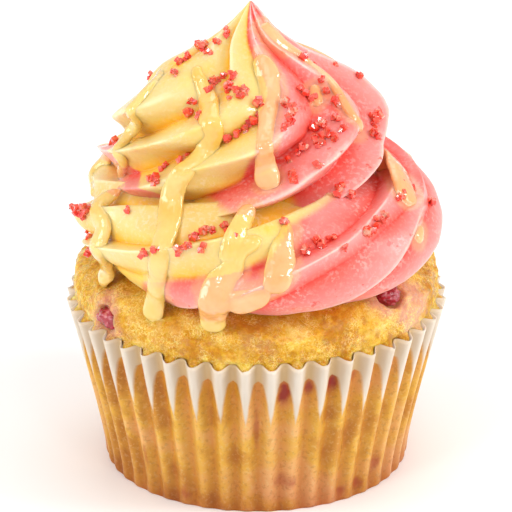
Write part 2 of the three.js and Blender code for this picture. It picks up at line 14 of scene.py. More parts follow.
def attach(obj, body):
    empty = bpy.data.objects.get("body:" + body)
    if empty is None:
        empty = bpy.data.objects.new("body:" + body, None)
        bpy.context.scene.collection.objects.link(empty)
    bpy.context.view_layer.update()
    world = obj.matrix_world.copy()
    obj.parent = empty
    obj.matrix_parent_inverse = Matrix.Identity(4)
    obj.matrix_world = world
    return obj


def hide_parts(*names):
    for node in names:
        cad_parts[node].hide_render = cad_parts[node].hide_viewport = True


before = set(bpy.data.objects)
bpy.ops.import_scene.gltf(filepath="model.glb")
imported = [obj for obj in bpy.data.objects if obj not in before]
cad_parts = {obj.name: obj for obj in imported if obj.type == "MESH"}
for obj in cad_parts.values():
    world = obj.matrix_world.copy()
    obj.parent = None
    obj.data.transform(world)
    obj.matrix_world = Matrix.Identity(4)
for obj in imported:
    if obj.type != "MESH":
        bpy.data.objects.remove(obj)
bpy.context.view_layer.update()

MM = 0.001

# ---- sizes, in millimetres
CASE_PLEATS = 44
CASE_FLOOR_RADIUS = 26.3
CASE_FLOOR_ROUNDING = 0.6
CASE_RIM_RADIUS = 32.8
CASE_FLARE = 1.15
CASE_HEIGHT = 29.5
CASE_FOLD_DEPTH_FLOOR = 0.9
CASE_FOLD_DEPTH_RIM = 2.0
CASE_FOLD_RISE = 0.6
CASE_CORNER = 2.2
FIRST_PLEAT_DEG = 266.5
PAPER = 0.16
# Share of each pleat's half width, from the inward fold, that lies on the cake, by height.
PAPER_CONTACT = [[17.0, 1.4], [18.4, 1.02], [20.4, 0.84], [22.0, 0.75], [23.7, 0.62], [25.4, 0.47],
                 [26.2, 0.36], [26.8, 0.0]]
# Berry stains in the paper: azimuth, height, half width, half height and strength.
PAPER_STAINS = [
    [279, 24.3, 1.1, 1.9, 1], [287, 24.9, 0.9, 1.2, 0.9], [295, 25.1, 1, 1.8, 1],
    [303, 25.8, 0.5, 0.8, 0.5], [270, 17, 0.5, 3.4, 0.5], [280, 6, 1.7, 1.3, 0.45],
    [283, 5.5, 0.8, 0.7, 0.6], [242, 2.4, 0.9, 1.3, 0.6], [321, 5.1, 0.8, 1.6, 0.6], [312, 2.4, 1, 1, 0.7],
    [304, 1.8, 0.9, 0.8, 0.7], [226, 8, 0.4, 2.2, 0.5], [60, 12, 0.7, 1.6, 0.8], [100, 22, 0.9, 1.2, 0.9],
    [150, 7, 0.8, 1, 0.7],
]

CAKE_TOP = 39.8
CAKE_SWELL_RADIUS = 31.4
CAKE_SWELL_HEIGHT = 31.9
CRAG_DEPTH = 0.32
CAKE_FILL = 1.05
HOLLOW_REACH = 3.6
HOLLOW_DEPTH = 1.3

# Painted shade on the crust, where the cake should get less light: azimuth, height, half width in degrees,
# half height and strength.
CAKE_PAINTED_SHADE = [[240, 33.6, 14, 3.2, 0.85], [262, 33.2, 12, 2.2, 0.5], [285, 37, 24, 2, 0.6]]
# Berry stains on the cake: azimuth, radius, height and reach.
CAKE_STAINS = [[213.5, 29.9, 32.2, 5.8], [330, 30.6, 34.2, 6.6], [318, 28.5, 36, 4.6]]

# Each berry's node, its place as azimuth, radius and height, and its half sizes.
BERRIES = [
    ["berry_left", (213.5, 29.9, 32.2), (2.2, 3.0, 1.9)],
    ["berry_right", (324, 27.6, 36.2), (2.2, 2.5, 2.0)],
]

# The lower turn: directions round the rope of its crests and valleys, by how far it has turned.
CREST_ROUNDING = 0.07
FACE_HOLLOW = 0.8
ROPE_STATIONS = [60, 180, 210, 240, 270, 285, 300, 315, 330, 360, 420, 540]
ROPE_CRESTS = [
    [172, 172, 165, 159, 159, 159, 160, 162, 164, 170, 175, 175],
    [223, 214, 207, 211, 208, 206, 205.5, 207, 214, 226, 226, 226],
    [290, 300, 302, 298, 268, 262.5, 260, 257.5, 262, 275, 275, 275],
    [335, 348, 347, 345, 338, 334, 328, 308, 296, 305, 322, 322],
    [378, 392, 391, 389, 385, 380, 372, 362, 354, 352, 368, 368],
    [422, 436, 435, 432, 426, 421, 417, 412, 407, 402, 418, 418],
    [470, 498, 486, 478, 474, 471, 468, 466, 464, 462, 468, 468],
]
ROPE_VALLEYS = [
    [204, 200, 201, 204, 196, 194, 194, 196, 200, 210, 212, 212],
    [262, 245, 243, 247, 250.5, 250.5, 250, 246, 246, 262, 262, 262],
    [318, 325, 322, 318, 304, 284, 277.5, 276, 284, 296, 308, 308],
    [362, 375, 374, 372, 365, 358, 350, 325, 312, 332, 352, 352],
    [408, 420, 420, 418, 412, 408, 403, 398, 392, 388, 404, 404],
    [455, 468, 466, 462, 458, 455, 452, 450, 447, 444, 452, 452],
    [510, 520, 513, 508, 505, 505, 505, 506, 508, 512, 518, 518],
]
ROPE_DEPTHS = [0.25, 0.25, 0.12, 0.16, 0.22, 0.25, 0.25]
# Where the lower turn swells or sinks on its own: turned angle, direction, width, share.
ROPE_SWELLS = [[190, 212, 18, -0.2], [172, 478, 16, 0.25]]
ROPE_SQUASH_UP = 0.825
ROPE_SQUASH_DOWN = 0.70
ROPE_RADIUS = [[60, 19], [120, 19.5], [150, 19.4], [165, 19.2], [180, 19.2], [195, 20.3], [210, 20.3],
               [240, 21.5], [270, 22.3], [300, 22.8], [330, 22.4], [360, 20.2], [390, 17.2], [420, 15.5],
               [450, 14.5], [540, 12]]
ROPE_HEIGHT = [[60, 44], [120, 44.2], [180, 44.4], [210, 45.2], [240, 45.4], [270, 45.5], [300, 45.7],
               [330, 46], [360, 46.7], [390, 48.1], [420, 50.1], [450, 52], [540, 58]]
ROPE_HALF_WIDTH = [[60, 9], [120, 10.6], [150, 11], [165, 11.1], [180, 11.6], [195, 13.3], [210, 13.3],
                   [240, 13], [270, 12.6], [300, 12.2], [330, 11.8], [360, 11], [390, 10], [420, 9.8],
                   [450, 10.5], [540, 12]]
ROPE_HALF_HEIGHT = [[60, 9], [120, 11], [180, 12], [540, 12]]

CROWN_RADIUS = [[46, 10], [50, 19.5], [53, 23.6], [57, 25], [60, 23.8], [63, 23.8],
                [66, 23.4], [69.5, 19.3], [72.5, 14.1], [75, 9.9], [77.5, 6.8], [80.5, 3.3], [83.8, 0.25]]
CROWN_SHIFT = [[46, -1.2], [54, -1.5], [60, -1.3], [66, -0.9], [84, -1]]
CROWN_FLUTE_HEIGHTS = [47, 56.5, 62, 66.5, 71.5, 75.5, 79, 84]
CROWN_FLUTES = [
    [85, 143, 177, 199, 219, 222, 207, 190],
    [118, 180, 212, 234, 257, 247, 232, 218],
    [165, 222, 246, 275, 296, 290, 277, 263],
    [215, 272, 303, 319, 331, 322, 302, 288],
    [266, 322, 355, 373, 383, 370, 356, 343],
    [325, 378, 412, 425, 437, 425, 412, 398],
    [382, 430, 465, 482, 500, 498, 488, 478],
]
CROWN_ROUNDING = 0.18
CROWN_DEPTH = 0.25
CROWN_VALLEY = 0.68
CROWN_LIFT = [[0, 2.4], [90, 0.5], [180, -1.5], [270, 1.2], [360, 2.4]]
CROWN_DROP = [[0, 2], [40, 0.8], [80, 0.5], [120, 2.9], [160, 0.1], [200, -3.4], [230, 0], [330, 0], [360, 2]]
HEEL_DEG = 152
HEEL_SWELL = 0.12
SHALLOW_DEG = 195
SHALLOW_SHARE = 0.6

# Where pink takes over from yellow, by compass direction: a flute direction on the lower turn.
PINK_FROM = ([0, 90, 150, 180, 205, 215, 222, 232, 245, 265, 274, 282, 300, 315, 322, 330, 345, 360],
             [200, 250, 300, 335, 335, 322, 300, 258, 250, 248, 240, 216, 213, 212, 200, 165, 165, 200])
PINK_TO = 50

# Where syrup has pooled and made the cream deeper in colour: azimuth, height, half width in
# degrees, half height and strength.
POOLS = [
    [247, 67.5, 12, 3, 0.82], [236, 69.8, 11, 2.2, 0.8], [221, 74, 12, 1.6, 0.85],
    [247, 71.6, 9, 1.6, 0.85], [231, 62.3, 14, 1.6, 0.9], [232, 54.8, 22, 1.4, 0.8],
    [278, 53.8, 18, 1.6, 0.9], [262, 52, 9, 1.3, 0.7], [320, 68.6, 10, 2.6, 0.85],
    [324, 70.4, 8, 1.8, 0.85], [344, 54.6, 14, 2.4, 0.93], [302, 71.5, 9, 3.2, 0.9],
    [258, 72.5, 6, 1.4, 0.9], [20, 56, 25, 1.5, 0.7], [60, 66, 20, 2, 0.5], [110, 62, 20, 2, 0.5],
    [150, 52, 25, 1.5, 0.6],
]

# Each run of syrup, from its top to its drop: azimuth, height and half width on the way.
DRIZZLE = [
    [[300, 80.6, 1], [316, 78.8, 1.3], [326, 77, 1.2], [340, 75.3, 1.2], [345, 73.6, 1.1],
     [338, 72.3, 0.9], [331, 71.5, 0.8], [326, 70.2, 0.75], [323, 68.8, 0.75], [323, 67.3, 0.8],
     [327, 65.6, 0.9], [334, 64, 1], [342, 62.4, 1.2]],
    [[272, 76.8, 0.9], [278, 75.4, 1.5], [281.5, 73.8, 1.8], [281, 72.2, 1.8], [279, 70.8, 1.6],
     [276.5, 69.5, 1.3], [274.6, 68, 1.2], [273.6, 66, 1.3], [274, 63, 1.5], [275, 60, 2], [275, 58.6, 2.4]],
    [[213.6, 74.8, 0.7], [222, 73.5, 1], [229, 71.9, 1.2], [236, 70.6, 1.5], [243.5, 69.6, 1.6],
     [248, 68.4, 1.6], [248, 66.4, 1.4], [244.5, 64, 1.4], [241, 62, 1.5], [237, 59.6, 1.6],
     [234.8, 57, 1.7], [235.5, 54.8, 1.9], [238, 52.8, 1.8], [240, 50.3, 1.6], [239.7, 48, 1.6],
     [238, 44.8, 1.5], [236.5, 41.9, 1.5], [234, 38, 1.7], [234, 35.2, 1.9]],
    [[186, 71.6, 0.7], [201, 71.2, 0.9], [207.5, 69.6, 0.9], [205, 66.5, 1], [198, 62.6, 1],
     [201, 60.4, 1], [203, 58.5, 0.9], [196, 55.5, 0.9], [190, 53.4, 1.1]],
    [[178, 54.5, 0.9], [173, 53, 1], [173, 50.8, 1], [180, 49.8, 0.9], [187, 49.6, 0.8]],
    [[206, 53.8, 1.1], [205, 51.9, 1.3], [208, 50.5, 1.5], [212.5, 49.4, 1.6], [213.5, 47.8, 1.6],
     [213.5, 46.2, 1.6], [212.5, 44.4, 1.6], [210, 42.6, 1.7], [207, 40.2, 1.8], [204.5, 38, 1.9],
     [203.5, 36.4, 2]],
    [[265, 49.3, 1.4], [261.3, 46.9, 2], [258.8, 44.8, 2.4], [257.8, 42.2, 2.4], [256.3, 38.6, 1.9],
     [256.4, 35.4, 1.9]],
    [[268, 56.9, 1.3], [265, 54.6, 1.5], [262.8, 52.9, 1.5], [261.4, 51, 1.3], [260.8, 49, 1.4]],
    [[281.2, 54.6, 0.9], [280, 52.9, 1.1], [278.4, 51.3, 1.7], [277.4, 49.3, 2.1], [276.2, 47.8, 2.1],
     [275, 46, 1.8], [274.2, 44.7, 1.5]],
    [[271.8, 53, 1], [268, 52, 1.2], [265.2, 50.7, 1], [264, 49, 1.1], [263.5, 47.1, 1.4]],
    [[274, 45.2, 1.5], [270, 43.9, 1.8], [265.5, 42.9, 2], [261, 42.6, 2]],
    [[357, 57, 1.2], [350, 56.2, 1.7], [343, 55.8, 2.1], [337, 54.8, 2.3], [333, 53.5, 2.4],
     [329.5, 52.3, 2.4]],
    [[332, 49, 0.6], [329.6, 48, 0.9], [326.2, 47, 1]],
    [[322.8, 71.8, 0.7], [317.3, 70.3, 1], [313.2, 69, 1]],
    [[60, 74.5, 1], [44, 70, 1.1], [34, 65, 1.1], [36, 60.5, 1.4]],
    [[112, 76, 1], [92, 71, 1.3], [84, 65, 1.4], [88, 58.5, 1.7]],
    [[150, 74, 0.9], [134, 68, 1.1], [126, 62, 1.2], [128, 55.5, 1.5]],
    [[62, 54, 1], [66, 49, 1.4], [62, 44, 1.4], [64, 38.2, 1.7]],
    [[112, 53, 1.1], [106, 48, 1.4], [109, 42.5, 1.7]],
    [[16, 54, 1], [20, 48, 1.3], [17, 42, 1.6]],
]
SYRUP_THICKNESS = 0.7
SYRUP_FULLNESS = 0.45
SYRUP_ROOT = 0.9
SYRUP_STEP = 0.5
SYRUP_SPREAD = 1.25
SYRUP_FOOT = 0.45
SYRUP_LEAN = 0.8
SYRUP_SIDES = 14
SYRUP_VOXEL = 0.26
GLAZE_REACH = 1.6

# Trails of sugar grains: azimuth and height of both ends, and how many lie along it.
GRAIN_TRAILS = [
    [205, 72.8, 209, 72.9, 2], [189, 75.7, 211, 76.7, 3], [211, 77.7, 207, 78.7, 2],
    [196, 73.5, 199, 75, 2], [231, 71.9, 234, 73.2, 5], [226, 70.3, 228, 70, 1], [228, 68.7, 239, 68.6, 2],
    [247, 74.4, 262, 72.4, 5], [249, 72.2, 257, 71.8, 3], [269, 70.5, 272, 69.5, 3],
    [265, 68.4, 271, 68.3, 3], [254, 65.5, 263, 66.8, 5], [231, 61.6, 236, 63.2, 3],
    [220, 58.8, 223, 59.1, 1], [224, 58.5, 229, 58.6, 2], [172, 56, 190, 58.8, 2],
    [304, 72.5, 311, 70.4, 4], [329, 72.8, 328, 72.4, 1], [324, 70.8, 321, 69.4, 3], [315, 68, 314, 67, 2],
    [308, 67.5, 304, 65.8, 4], [308, 66.1, 301, 64.8, 4], [295, 63.5, 288, 62.2, 3],
    [296, 62.7, 296, 62, 1], [289, 71.7, 289, 70.7, 4], [288, 70, 284, 68.8, 3], [335, 74.6, 345, 72.8, 3],
    [15, 68.6, 14, 68.3, 1], [353, 63.3, 358, 63.6, 3], [345, 61.3, 345, 61, 2], [285, 60.3, 286, 60.1, 2],
    [311, 55.9, 312, 55, 3], [278, 54.3, 279, 53.9, 1], [296, 52, 296, 51.7, 2], [288, 50.9, 291, 51.3, 3],
    [284, 50, 284, 49.8, 1], [305, 52.3, 317, 53.1, 6], [325, 53.6, 338, 53.9, 4],
    [333, 54.7, 329, 54.5, 2], [348, 49.7, 348, 49.6, 1], [196, 48.8, 200, 49.8, 3],
    [203, 51, 202, 50.8, 2], [197, 44.2, 200, 44.5, 1], [207, 44.4, 204, 42.8, 1], [214, 52.4, 222, 54, 1],
    [235, 49.6, 239, 49.9, 3], [246, 51.2, 253, 51.9, 7], [258, 53.2, 265, 53.5, 3], [20, 70, 60, 66, 3],
    [90, 68, 130, 72, 3], [150, 66, 110, 60, 3], [40, 58, 80, 62, 2], [30, 48, 75, 52, 3],
    [100, 50, 160, 48, 4],
]
GRAIN_SIZE = 0.62
GRAIN_CLUSTERS = [3, 4, 4, 5, 6]
GRAIN_SPREAD_DEG = 3.6
GRAIN_SPREAD_UP = 1.2

# ---- number helpers


def stations(pairs):
    """A smooth curve through stations [position, value], for arrays of positions."""
    keys, values = np.array(list(pairs), float).T
    places = np.arange(len(keys))
    before, after = np.maximum(places - 1, 0), np.minimum(places + 1, len(keys) - 1)
    slope = (values[after] - values[before]) / (keys[after] - keys[before])

    def at(position):
        x = np.clip(np.asarray(position, float), keys[0], keys[-1])
        i = np.clip(np.searchsorted(keys, x, side="left") - 1, 0, len(keys) - 2)
        h = keys[i + 1] - keys[i]
        t = (x - keys[i]) / h
        return ((2 * t**3 - 3 * t**2 + 1) * values[i] + (t**3 - 2 * t**2 + t) * h * slope[i]
                + (3 * t**2 - 2 * t**3) * values[i + 1] + (t**3 - t**2) * h * slope[i + 1])

    return at


def clamp01(value):
    return np.clip(value, 0.0, 1.0)


def smooth_step(value):
    t = clamp01(value)
    return t * t * (3 - 2 * t)


def rows_at(positions, rows, at):
    """The value at one place of each row's smooth curve; the rows share their positions."""
    return [stations(zip(positions, row))(at) for row in rows]


def between(value, low, low_soft, high, high_soft):
    """1 between two limits and 0 outside them, with a soft stretch inside each limit."""
    return smooth_step((value - low) / low_soft) * smooth_step((high - value) / high_soft)


def polar(azimuth, radius, height):
    a = np.radians(azimuth)
    return np.stack(np.broadcast_arrays(radius * np.cos(a), radius * np.sin(a), height), axis=-1)


def seeded_draw(seed):
    """The same draws, between 0 and 1, as the solids' own rule makes."""
    state = seed
    while True:
        state = (state * 1664525 + 1013904223) % 4294967296
        yield state / 4294967296


def bumps(points, scale, seed=0.0):
    """Smooth noise between -1 and 1 at points in millimetres, with features about scale wide."""
    shift = Vector((seed, seed * 1.7, -seed))
    return np.array([noise.noise(Vector(p) / scale + shift) for p in points])


def azimuth_of(points):
    return np.degrees(np.arctan2(points[:, 1], points[:, 0]))


# ---- mesh helpers


def capped_skin(rings):
    """A closed skin over rings of points, with a fan at each end: vertices and faces."""
    rows, columns = rings.shape[:2]
    points = np.vstack([rings.reshape(-1, 3), rings[0].mean(0), rings[-1].mean(0)])
    low, high = rows * columns, rows * columns + 1
    last = (rows - 1) * columns
    around = [(j, (j + 1) % columns) for j in range(columns)]
    faces = [(i + j, i + k, i + columns + k, i + columns + j)
             for i in range(0, last, columns) for j, k in around]
    for j, k in around:
        faces += [(low, k, j), (high, last + j, last + k)]
    return points, faces


def add_object(name, data):
    """An object of the scene that shows the data."""
    obj = bpy.data.objects.new(name, data)
    bpy.context.scene.collection.objects.link(obj)
    return obj


def make_object(name, points, faces):
    """A mesh object from points in millimetres, with its faces turned outwards."""
    mesh = bpy.data.meshes.new(name)
    mesh.from_pydata((np.asarray(points) * MM).tolist(), [], faces)
    mesh.update()
    shell = bmesh.new()
    shell.from_mesh(mesh)
    if shell.calc_volume(signed=True) < 0:
        mesh.flip_normals()
    shell.free()
    return add_object(name, mesh)


def make_skin(name, rings):
    return make_object(name, *capped_skin(rings))


def read_vertices(obj, what):
    """One vector of each vertex: its place, as co, or its normal."""
    values = np.zeros(len(obj.data.vertices) * 3)
    obj.data.vertices.foreach_get(what, values)
    return values.reshape(-1, 3)


def vertex_points(obj):
    """An object's vertices, in millimetres."""
    return read_vertices(obj, "co") / MM


def move_vertices(obj, points):
    obj.data.vertices.foreach_set("co", (points * MM).ravel())
    obj.data.update()


def apply_modifiers(obj):
    bpy.context.view_layer.update()
    graph = bpy.context.evaluated_depsgraph_get()
    mesh = bpy.data.meshes.new_from_object(obj.evaluated_get(graph))
    obj.modifiers.clear()
    obj.data = mesh


def boolean(obj, other, operation):
    """Joins other to obj, or cuts it away, and removes other."""
    modifier = obj.modifiers.new("join", "BOOLEAN")
    modifier.object = other
    modifier.operation = operation
    modifier.solver = "MANIFOLD"
    apply_modifiers(obj)
    bpy.data.objects.remove(other)


def shade_smooth(obj):
    obj.data.polygons.foreach_set("use_smooth", [True] * len(obj.data.polygons))
    return obj


def set_attribute(obj, name, values):
    made = obj.data.attributes.new(name, "FLOAT", "POINT")
    made.data.foreach_set("value", np.asarray(values, np.float32))


def find_nearest(sources, points):
    """For each point, the number of the nearest source and how far away it is."""
    tree = KDTree(len(sources))
    for i, source in enumerate(sources):
        tree.insert(source, i)
    tree.balance()
    _, order, away = zip(*(tree.find(point) for point in points))
    return np.array(order), np.array(away)


def surface_of(*objects):
    """A ray-casting tree over the objects' faces, in millimetres."""
    points, faces = [], []
    for obj in objects:
        first = len(points)
        points += [Vector(p) for p in vertex_points(obj)]
        faces += [[first + v for v in polygon.vertices] for polygon in obj.data.polygons]
    return BVHTree.FromPolygons(points, faces)


# ---- the swirl's shape


FLUTE_LINES = 30
VALLEY_PLACE = 0.6
LINES_DOWN = round(FLUTE_LINES * VALLEY_PLACE)
# Each line's share of the way across its flute. One line is exactly in the valley.
FLUTE_SHARES = np.concatenate([np.linspace(0, VALLEY_PLACE, LINES_DOWN, endpoint=False),
                               np.linspace(VALLEY_PLACE, 1, FLUTE_LINES - LINES_DOWN, endpoint=False)])


def across(crest, valley, following):
    """Values at a flute's lines, even from its crest to its valley and on to the following crest."""
    down = crest + (valley - crest) * FLUTE_SHARES / VALLEY_PLACE
    up = valley + (following - valley) * (FLUTE_SHARES - VALLEY_PLACE) / (1 - VALLEY_PLACE)
    return np.where(FLUTE_SHARES < VALLEY_PLACE, down, up)


def fluted(crests, valleys, rounding):
    """Directions of all lines round a fluted shape, and how far each has sunk from its crest."""
    following = crests[1:] + [crests[0] + 360]
    directions = [across(*three) for three in zip(crests, valleys, following)]
    t, e = across(0, 1, 0), rounding
    sunk = ((np.sqrt(t * t + e * e) - e) / (math.sqrt(1 + e * e) - e)) ** FACE_HOLLOW
    return np.concatenate(directions, axis=1), np.tile(sunk, len(valleys))[None, :]


def rope_skin(start, end, step):
    """Rings of the lower turn, with each point's pink share and depth in its valley."""
    turned = np.linspace(start, end, round((end - start) / step) + 1)[:, None]
    crests = rows_at(ROPE_STATIONS, ROPE_CRESTS, turned)
    valleys = rows_at(ROPE_STATIONS, ROPE_VALLEYS, turned)
    direction, depth = fluted(crests, valleys, CREST_ROUNDING)
    size = 1 - np.repeat(ROPE_DEPTHS, FLUTE_LINES)[None, :] * depth
    for swell_turn, swell_direction, width, share in ROPE_SWELLS:
        away = np.hypot(turned - swell_turn, direction - swell_direction) / width
        size = size * (1 + share * np.exp(-away**2))
    around = np.radians(turned - direction)
    up = np.sin(around)
    squash = np.where(up > 0, ROPE_SQUASH_UP, ROPE_SQUASH_DOWN)
    radius = stations(ROPE_RADIUS)(turned) + stations(ROPE_HALF_WIDTH)(turned) * size * np.cos(around)
    height = stations(ROPE_HEIGHT)(turned) + stations(ROPE_HALF_HEIGHT)(turned) * size * squash * up
    pink = rope_pink(turned, direction)
    return polar(turned, radius, height), pink, np.broadcast_to(depth, pink.shape)


def rope_pink(turned, direction):
    start = np.interp(np.mod(turned, 360), *PINK_FROM)
    along = np.mod(direction, 360)
    late = smooth_step((along - start) / 9 + 0.5)
    early = smooth_step((PINK_TO - along) / 14 + 0.5)
    return np.maximum(late, early)


def crown_skin(rows):
    """Rings of the upper turn up to the peak, with pink share and depth in the valley."""
    low, high = CROWN_RADIUS[0][0] + 0.5, CROWN_RADIUS[-1][0]
    height = np.linspace(low, high, rows)[:, None]
    crests = rows_at(CROWN_FLUTE_HEIGHTS, CROWN_FLUTES, height)
    following = crests[1:] + [crests[0] + 360]
    valleys = [here + (there - here) * CROWN_VALLEY for here, there in zip(crests, following)]
    azimuth, depth = fluted(crests, valleys, CROWN_ROUNDING)
    azimuth = np.mod(azimuth, 360)
    flutes = np.arange(1, len(crests) + 1)[:, None]
    place = (flutes + across(0, CROWN_VALLEY, 1)).reshape(1, -1)
    lift = stations(CROWN_LIFT)(azimuth) * clamp01((64 - height) / 9)
    drop = stations(CROWN_DROP)(azimuth) * clamp01((height - 52) / 8) * clamp01((81 - height) / 9)
    heel = HEEL_SWELL * np.exp(-(((azimuth - HEEL_DEG) / 20) ** 2)) * clamp01((60 - height) / 5)
    shallow = SHALLOW_SHARE * np.exp(-(((azimuth - SHALLOW_DEG) / 17) ** 2)) * clamp01((61 - height) / 4)
    flute = 1 - CROWN_DEPTH * depth * (1 - shallow)
    radius = stations(CROWN_RADIUS)(height - lift + drop) * flute * (1 + heel)
    rings = polar(azimuth, radius, height)
    rings[..., 0] += stations(CROWN_SHIFT)(height)
    return rings, crown_pink(place, azimuth, height), np.broadcast_to(depth, azimuth.shape)


def crown_pink(place, azimuth, height):
    """Pink starts below the third crest, later along the front and earlier at the left tip."""
    yellow_front = between(azimuth, 204, 8, 276, 10) * smooth_step((71 - height) / 3)
    top = 61 - 3.4 * smooth_step((azimuth - 196) / 12)
    left_tip = between(azimuth, 160, 8, 234, 15) * smooth_step((top - height) / 2.5)
    foot = between(azimuth, 236, 6, 298, 6) * smooth_step((56 - height) / 1.6)
    start = 2.64 + yellow_front * (1 - left_tip) - 0.8 * left_tip
    return smooth_step((place - start) * 6 + 0.5) * smooth_step((6.6 - place) * 6 + 0.5) * (1 - foot)


def make_cream(sponge):
    """Lower turn, upper turn and a core, joined and cut clear of the sponge; and where it is pink."""
    skins = [rope_skin(start=60, end=400, step=1.3), rope_skin(start=385, end=540, step=2.0),
             crown_skin(rows=150)]
    rings, pink, depth = zip(*skins)
    core_radius, core_low, core_high = 17, 36.5, 62
    core = polar(np.arange(0, 360, 7.5)[None, :], core_radius, np.array([core_low, core_high])[:, None])
    cream, *others = [make_skin("cream_swirl", part) for part in [*rings, core]]
    for other in others:
        boolean(cream, other, "UNION")
    boolean(cream, add_object("cut", sponge.data.copy()), "DIFFERENCE")
    keep_largest(cream)
    points = vertex_points(cream)
    order, _ = find_nearest(np.concatenate([part.reshape(-1, 3) for part in rings]), points)
    pink, depth = (np.concatenate([part.ravel() for part in parts])[order] for parts in (pink, depth))
    set_attribute(cream, "pink", pink)
    # the valley mark holds the larger of the crease depth, which paints shade, and the pooled syrup
    set_attribute(cream, "valley", np.maximum(depth, pooled(points, POOLS)))
    waviness = 0.16 * bumps(points, 5.0) + 0.05 * bumps(points, 1.6, 3)
    move_vertices(cream, points + read_vertices(cream, "normal") * waviness[:, None])
    return shade_smooth(cream), pink


def keep_largest(obj):
    """Drops the slivers, folded flaps and closed pockets that joining leaves."""
    shell = bmesh.new()
    shell.from_mesh(obj.data)
    same_place = 1e-7
    bmesh.ops.remove_doubles(shell, verts=shell.verts, dist=same_place)
    bmesh.ops.triangulate(shell, faces=shell.faces)
    by_corners = {}
    for face in shell.faces:
        by_corners.setdefault(frozenset(face.verts), []).append(face)
    flaps = [face for faces in by_corners.values() if len(faces) > 1 for face in faces]
    bmesh.ops.delete(shell, geom=flaps, context="FACES")
    remaining = set(shell.verts)
    groups = []
    while remaining:
        group = [remaining.pop()]
        for vert in group:
            linked = {edge.other_vert(vert) for edge in vert.link_edges} & remaining
            remaining -= linked
            group += linked
        groups.append(group)
    groups.sort(key=len)
    loose = [vert for group in groups[:-1] for vert in group]
    bmesh.ops.delete(shell, geom=loose, context="VERTS")
    shell.to_mesh(obj.data)
    shell.free()


def pooled(points, pools):
    """How far each point lies in soft patches, given by azimuth, height, half sizes and strength."""
    azimuth = azimuth_of(points)
    deepest = np.zeros(len(points))
    for at, height, half_width, half_height, strength in pools:
        beside = (np.mod(azimuth - at + 180, 360) - 180) / half_width
        along = (points[:, 2] - height) / half_height
        deepest = np.maximum(deepest, strength * np.exp(-beside**2 - along**2))
    return deepest


# ---- the sponge


def case_radius(height):
    t = (height - CASE_CORNER) / (CASE_HEIGHT - CASE_CORNER)
    return CASE_FLOOR_RADIUS + (CASE_RIM_RADIUS - CASE_FLOOR_RADIUS) * t**CASE_FLARE


def case_fold_depth(height):
    t = (height - CASE_CORNER) / (CASE_HEIGHT - CASE_CORNER)
    return CASE_FOLD_DEPTH_FLOOR + (CASE_FOLD_DEPTH_RIM - CASE_FOLD_DEPTH_FLOOR) * t


def dome_height(radius):
    foot = CAKE_SWELL_HEIGHT + 0.9
    return foot + (CAKE_TOP - foot) * (1 - (radius / CAKE_SWELL_RADIUS) ** 4) ** 0.5


def crag(azimuth, height):
    a = np.radians(azimuth)
    wave = np.sin(7 * a + 0.9 * height) + np.sin(13 * a - 1.7 * height + 1) + np.sin(23 * a + 2.3 * height)
    return (CRAG_DEPTH / 3) * wave * clamp01((height - 31) / 2)


def sponge_outline(rows):
    """The cake's outline at even steps: radius and height, floor to top."""
    inward = 0.62

    def wall(height):
        return case_radius(height) - case_fold_depth(height) - inward

    outline = [[CASE_FLOOR_RADIUS - 3.2, inward], [CASE_FLOOR_RADIUS - 1.95, inward + 0.7],
               [wall(CASE_CORNER) - 0.1, CASE_CORNER + 0.3], [wall(16), 16],
               [wall(CASE_HEIGHT - 0.4), CASE_HEIGHT - 0.4],
               [CAKE_SWELL_RADIUS - 0.9, CASE_HEIGHT + CASE_FOLD_RISE + 0.47],
               [CAKE_SWELL_RADIUS, CAKE_SWELL_HEIGHT]]
    for radius in np.sqrt(np.linspace(1, 0, 60))[1:-1] * CAKE_SWELL_RADIUS:
        outline.append([radius, float(dome_height(radius))])
    outline = np.array(outline)
    run = np.concatenate([[0], np.cumsum(np.hypot(*np.diff(outline, axis=0).T))])
    rim = run[4]
    even = np.concatenate([np.linspace(0, rim, 14, endpoint=False), np.linspace(rim, run[-1], rows - 14)])
    return np.interp(even, run, outline[:, 0]), np.interp(even, run, outline[:, 1])


def make_sponge():
    """The cake with its crags, its crumb and the hollows that the berry pieces lie in."""
    rows, columns = 118, 620
    radius, height = sponge_outline(rows)
    azimuth = np.linspace(0, 360, columns, endpoint=False)
    relief = crag(azimuth[None, :], height[:, None])
    inward = fold_shape(np.mod((azimuth - FIRST_PLEAT_DEG) * CASE_PLEATS / 360, 1))
    swollen = smooth_step((height - 22) / 4) * (1 - smooth_step((height - 29.25) / 1.3))
    fill = CAKE_FILL * CASE_FOLD_DEPTH_RIM * swollen[:, None] * (1 - inward)[None, :]
    bulge = smooth_step((height - CASE_HEIGHT + 0.2) / 1.5) * (height < CAKE_SWELL_HEIGHT)
    radius = radius + bulge * np.maximum(0, CAKE_SWELL_RADIUS - 0.05 - radius)
    rings = polar(azimuth[None, :], radius[:, None] + relief + fill, height[:, None] + relief)
    sponge = make_skin("sponge", rings)
    points = vertex_points(sponge)
    crumb = 0.16 * bumps(points, 1.1) + 0.12 * bumps(points, 0.5, 5) + 0.2 * bumps(points, 3.2, 9)
    out = clamp01((points[:, 2] - CASE_HEIGHT - 0.5) / 1.5)
    wobble = 1 + 0.25 * bumps(points, 2.0, 21)

    def patch(place, reach, soft):
        away = np.linalg.norm(points - polar(*place), axis=1)
        return smooth_step((reach * wobble - away) / soft)

    stain = np.max([patch(place, reach, 3.2) for *place, reach in CAKE_STAINS], axis=0)
    hollow = np.max([patch(place, HOLLOW_REACH, 1.2) for _, place, _ in BERRIES], axis=0)
    rise = (crumb - HOLLOW_DEPTH * hollow) * out
    move_vertices(sponge, points + read_vertices(sponge, "normal") * rise[:, None])
    set_attribute(sponge, "stain", stain)
    set_attribute(sponge, "hollow", hollow)
    return shade_smooth(sponge)


# ---- syrup and sugar grains


